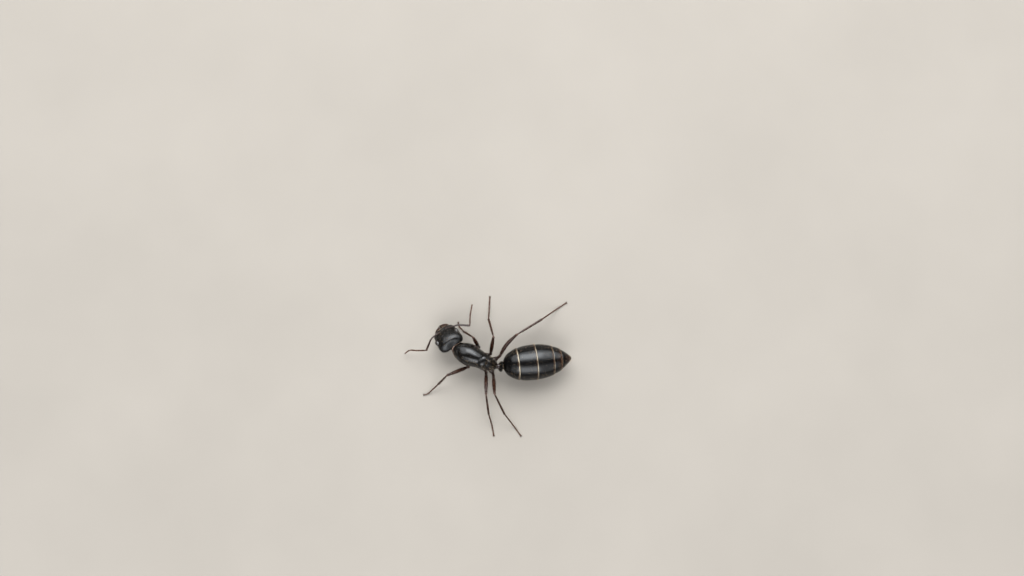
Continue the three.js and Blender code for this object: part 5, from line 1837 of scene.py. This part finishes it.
# ---- legs and feelers
def leg_hairs(name, seed):
    limbs, joints, path, side = LEG_LIMBS[name]
    out = []
    row = lambda i: (0, i * 0.2, 1, i * 0.2 + 0.2)
    out.append(limb_coat(limbs["coxa"], 26, 0.2, 0.9, 0, 180, 0.13, 0.0060, 0.7, 0.4, 0.5, row(0), seed))
    out.append(limb_coat(limbs["femur"], 90, 0.08, 0.95, 0, 180, 0.085, 0.0048, 1.0, 0.3, 0.5, row(1), seed + 1, rings=2))
    out.append(limb_coat(limbs["femur"], 12, 0.15, 0.95, -90, 35, 0.15, 0.0065, 0.5, 0.4, 0.4, row(1), seed + 2))
    out.append(limb_coat(limbs["tibia"], 130, 0.06, 0.97, 0, 180, 0.085, 0.0050, 0.85, 0.3, 0.4, row(2), seed + 3, rings=2))
    # two rows of stout bristles along the inside of the tibia
    for k, a in enumerate((-112, -68)):
        out.append(limb_coat(limbs["tibia"], 11, 0.28, 0.97, a, 8, 0.13, 0.0085, 0.62, 0.2, 0.1, row(2), seed + 4 + k))
    for i, j in enumerate(joints):
        box = (0.2 * i, 0.6, 0.2 * i + 0.2, 1.0)
        m = (70, 34, 26, 18, 26)[i]
        out.append(limb_coat(j, m, 0.06, 0.97, -90, 100, 0.075, 0.0050, 0.80, 0.2, 0.2, box, seed + 10 + i, rings=2))
        out.append(limb_coat(j, m // 2, 0.06, 0.97, 90, 80, 0.06, 0.0042, 0.95, 0.2, 0.3, box, seed + 20 + i, rings=2))
        out.append(limb_coat(j, 7, 0.93, 0.97, -90, 110, 0.085, 0.0085, 0.55, 0.1, 0.1, box, seed + 30 + i))
    return out


for k, name in enumerate(LEGS):
    piece("bristles_leg_" + name, leg_hairs(name, 1000 + 50 * k), HAIR_BROWN, packed=True)


def feeler_hairs(sideways, seed):
    scape, joints, path, side = FEELERS[sideways]
    out = [
        limb_coat(scape, 70, 0.08, 0.97, 0, 180, 0.07, 0.0045, 0.95, 0.3, 0.5, (0, 0, 1, 0.3), seed, rings=2),
        limb_coat(scape, 14, 0.75, 0.98, 0, 180, 0.12, 0.0060, 0.6, 0.3, 0.3, (0, 0, 1, 0.3), seed + 1),
    ]
    for i, j in enumerate(joints):
        box = (0, 0.3 + 0.7 * i / 11, 1, 0.3 + 0.7 * (i + 1) / 11)
        out.append(limb_coat(j, 60, 0.08, 0.97, 0, 180, 0.048, 0.0034, 0.95, 0.2, 0.2, box, seed + 2 + i, rings=2))
        out.append(limb_coat(j, 6, 0.85, 0.95, 0, 180, 0.075, 0.0050, 0.6, 0.2, 0.2, box, seed + 20 + i))
    return out


for k, sideways in enumerate(FEELERS):
    piece("bristles_feeler_" + sideways, feeler_hairs(sideways, 2000 + 50 * k), HAIR_BROWN, packed=True)


# ================================================================== studio
def floor_material():
    m, nt, p = material("studio_floor")
    n = Nodes(nt)
    xyz = n.place()
    n.link(n.mix(n.span(n.noise(xyz, 0.05, 3), 0.35, 0.65), (0.171, 0.154, 0.133), (0.181, 0.163, 0.141)), p.inputs["Base Color"])
    p.inputs["Roughness"].default_value = 0.85
    p.inputs["Specular IOR Level"].default_value = 0.2
    return m


def floor():
    me = bpy.data.meshes.new("studio_floor")
    n, r = 96, 0.33
    rim = [(r * math.cos(2 * PI * i / n), r * math.sin(2 * PI * i / n), 0.0) for i in range(n)]
    me.from_pydata(rim, [], [list(range(n))])
    me.materials.append(floor_material())
    o = bpy.data.objects.new("studio_floor", me)
    bpy.context.scene.collection.objects.link(o)
    return o


def softbox(name, zenith, toward, distance, size, power, colour):
    """A long soft light, its long side along Y, at an angle from straight up."""
    light = bpy.data.lights.new(name, "AREA")
    light.shape = "RECTANGLE"
    light.size, light.size_y = size
    light.energy = power
    light.color = colour
    o = bpy.data.objects.new(name, light)
    w = math.radians(zenith)
    way = Vector((toward * math.sin(w), 0, math.cos(w)))
    o.location = way * distance
    o.rotation_euler = way.to_track_quat("Z", "X").to_euler()
    bpy.context.scene.collection.objects.link(o)
    return o


def world():
    w = bpy.data.worlds.new("studio")
    w.use_nodes = True
    nt = w.node_tree
    n = Nodes(nt)
    c = n.add("ShaderNodeTexCoord")
    s = n.add("ShaderNodeSeparateXYZ")
    n.link(c.outputs["Generated"], s.inputs[0])
    low = n.span(s.outputs["Z"], 0.07, 0.15)
    high = n.span(s.outputs["Z"], 0.15, 0.45)
    sky = n.mix(low, (0.57, 0.55, 0.505), (0.12, 0.117, 0.113))
    n.link(n.mix(high, sky, (0.028, 0.030, 0.036)), nt.nodes["Background"].inputs["Color"])
    nt.nodes["Background"].inputs["Strength"].default_value = 1.0
    bpy.context.scene.world = w


floor()
world()
softbox("soft_right", 43, -1, 0.36, (0.40, 0.9), 6.0, (0.93, 0.965, 1.0))
softbox("soft_left", 43, 1, 0.36, (0.38, 0.9), 2.3, (0.93, 0.965, 1.0))
softbox("core_right", 39, -1, 0.35, (0.19, 0.27), 1.9, (0.93, 0.965, 1.0))
softbox("core_left", 39, 1, 0.35, (0.19, 0.27), 1.15, (0.93, 0.965, 1.0))

cam = bpy.data.cameras.new("camera")
cam.lens, cam.sensor_width = 100, 36
cam.clip_start, cam.clip_end = 0.01, 20
eye_of_camera = bpy.data.objects.new("camera", cam)
eye_of_camera.location = (-0.008646, 0.002714, 0.3129)
eye_of_camera.rotation_euler = (0, 0, math.radians(90))
bpy.context.scene.collection.objects.link(eye_of_camera)
bpy.context.scene.camera = eye_of_camera
bpy.context.scene.view_settings.view_transform = "Standard"
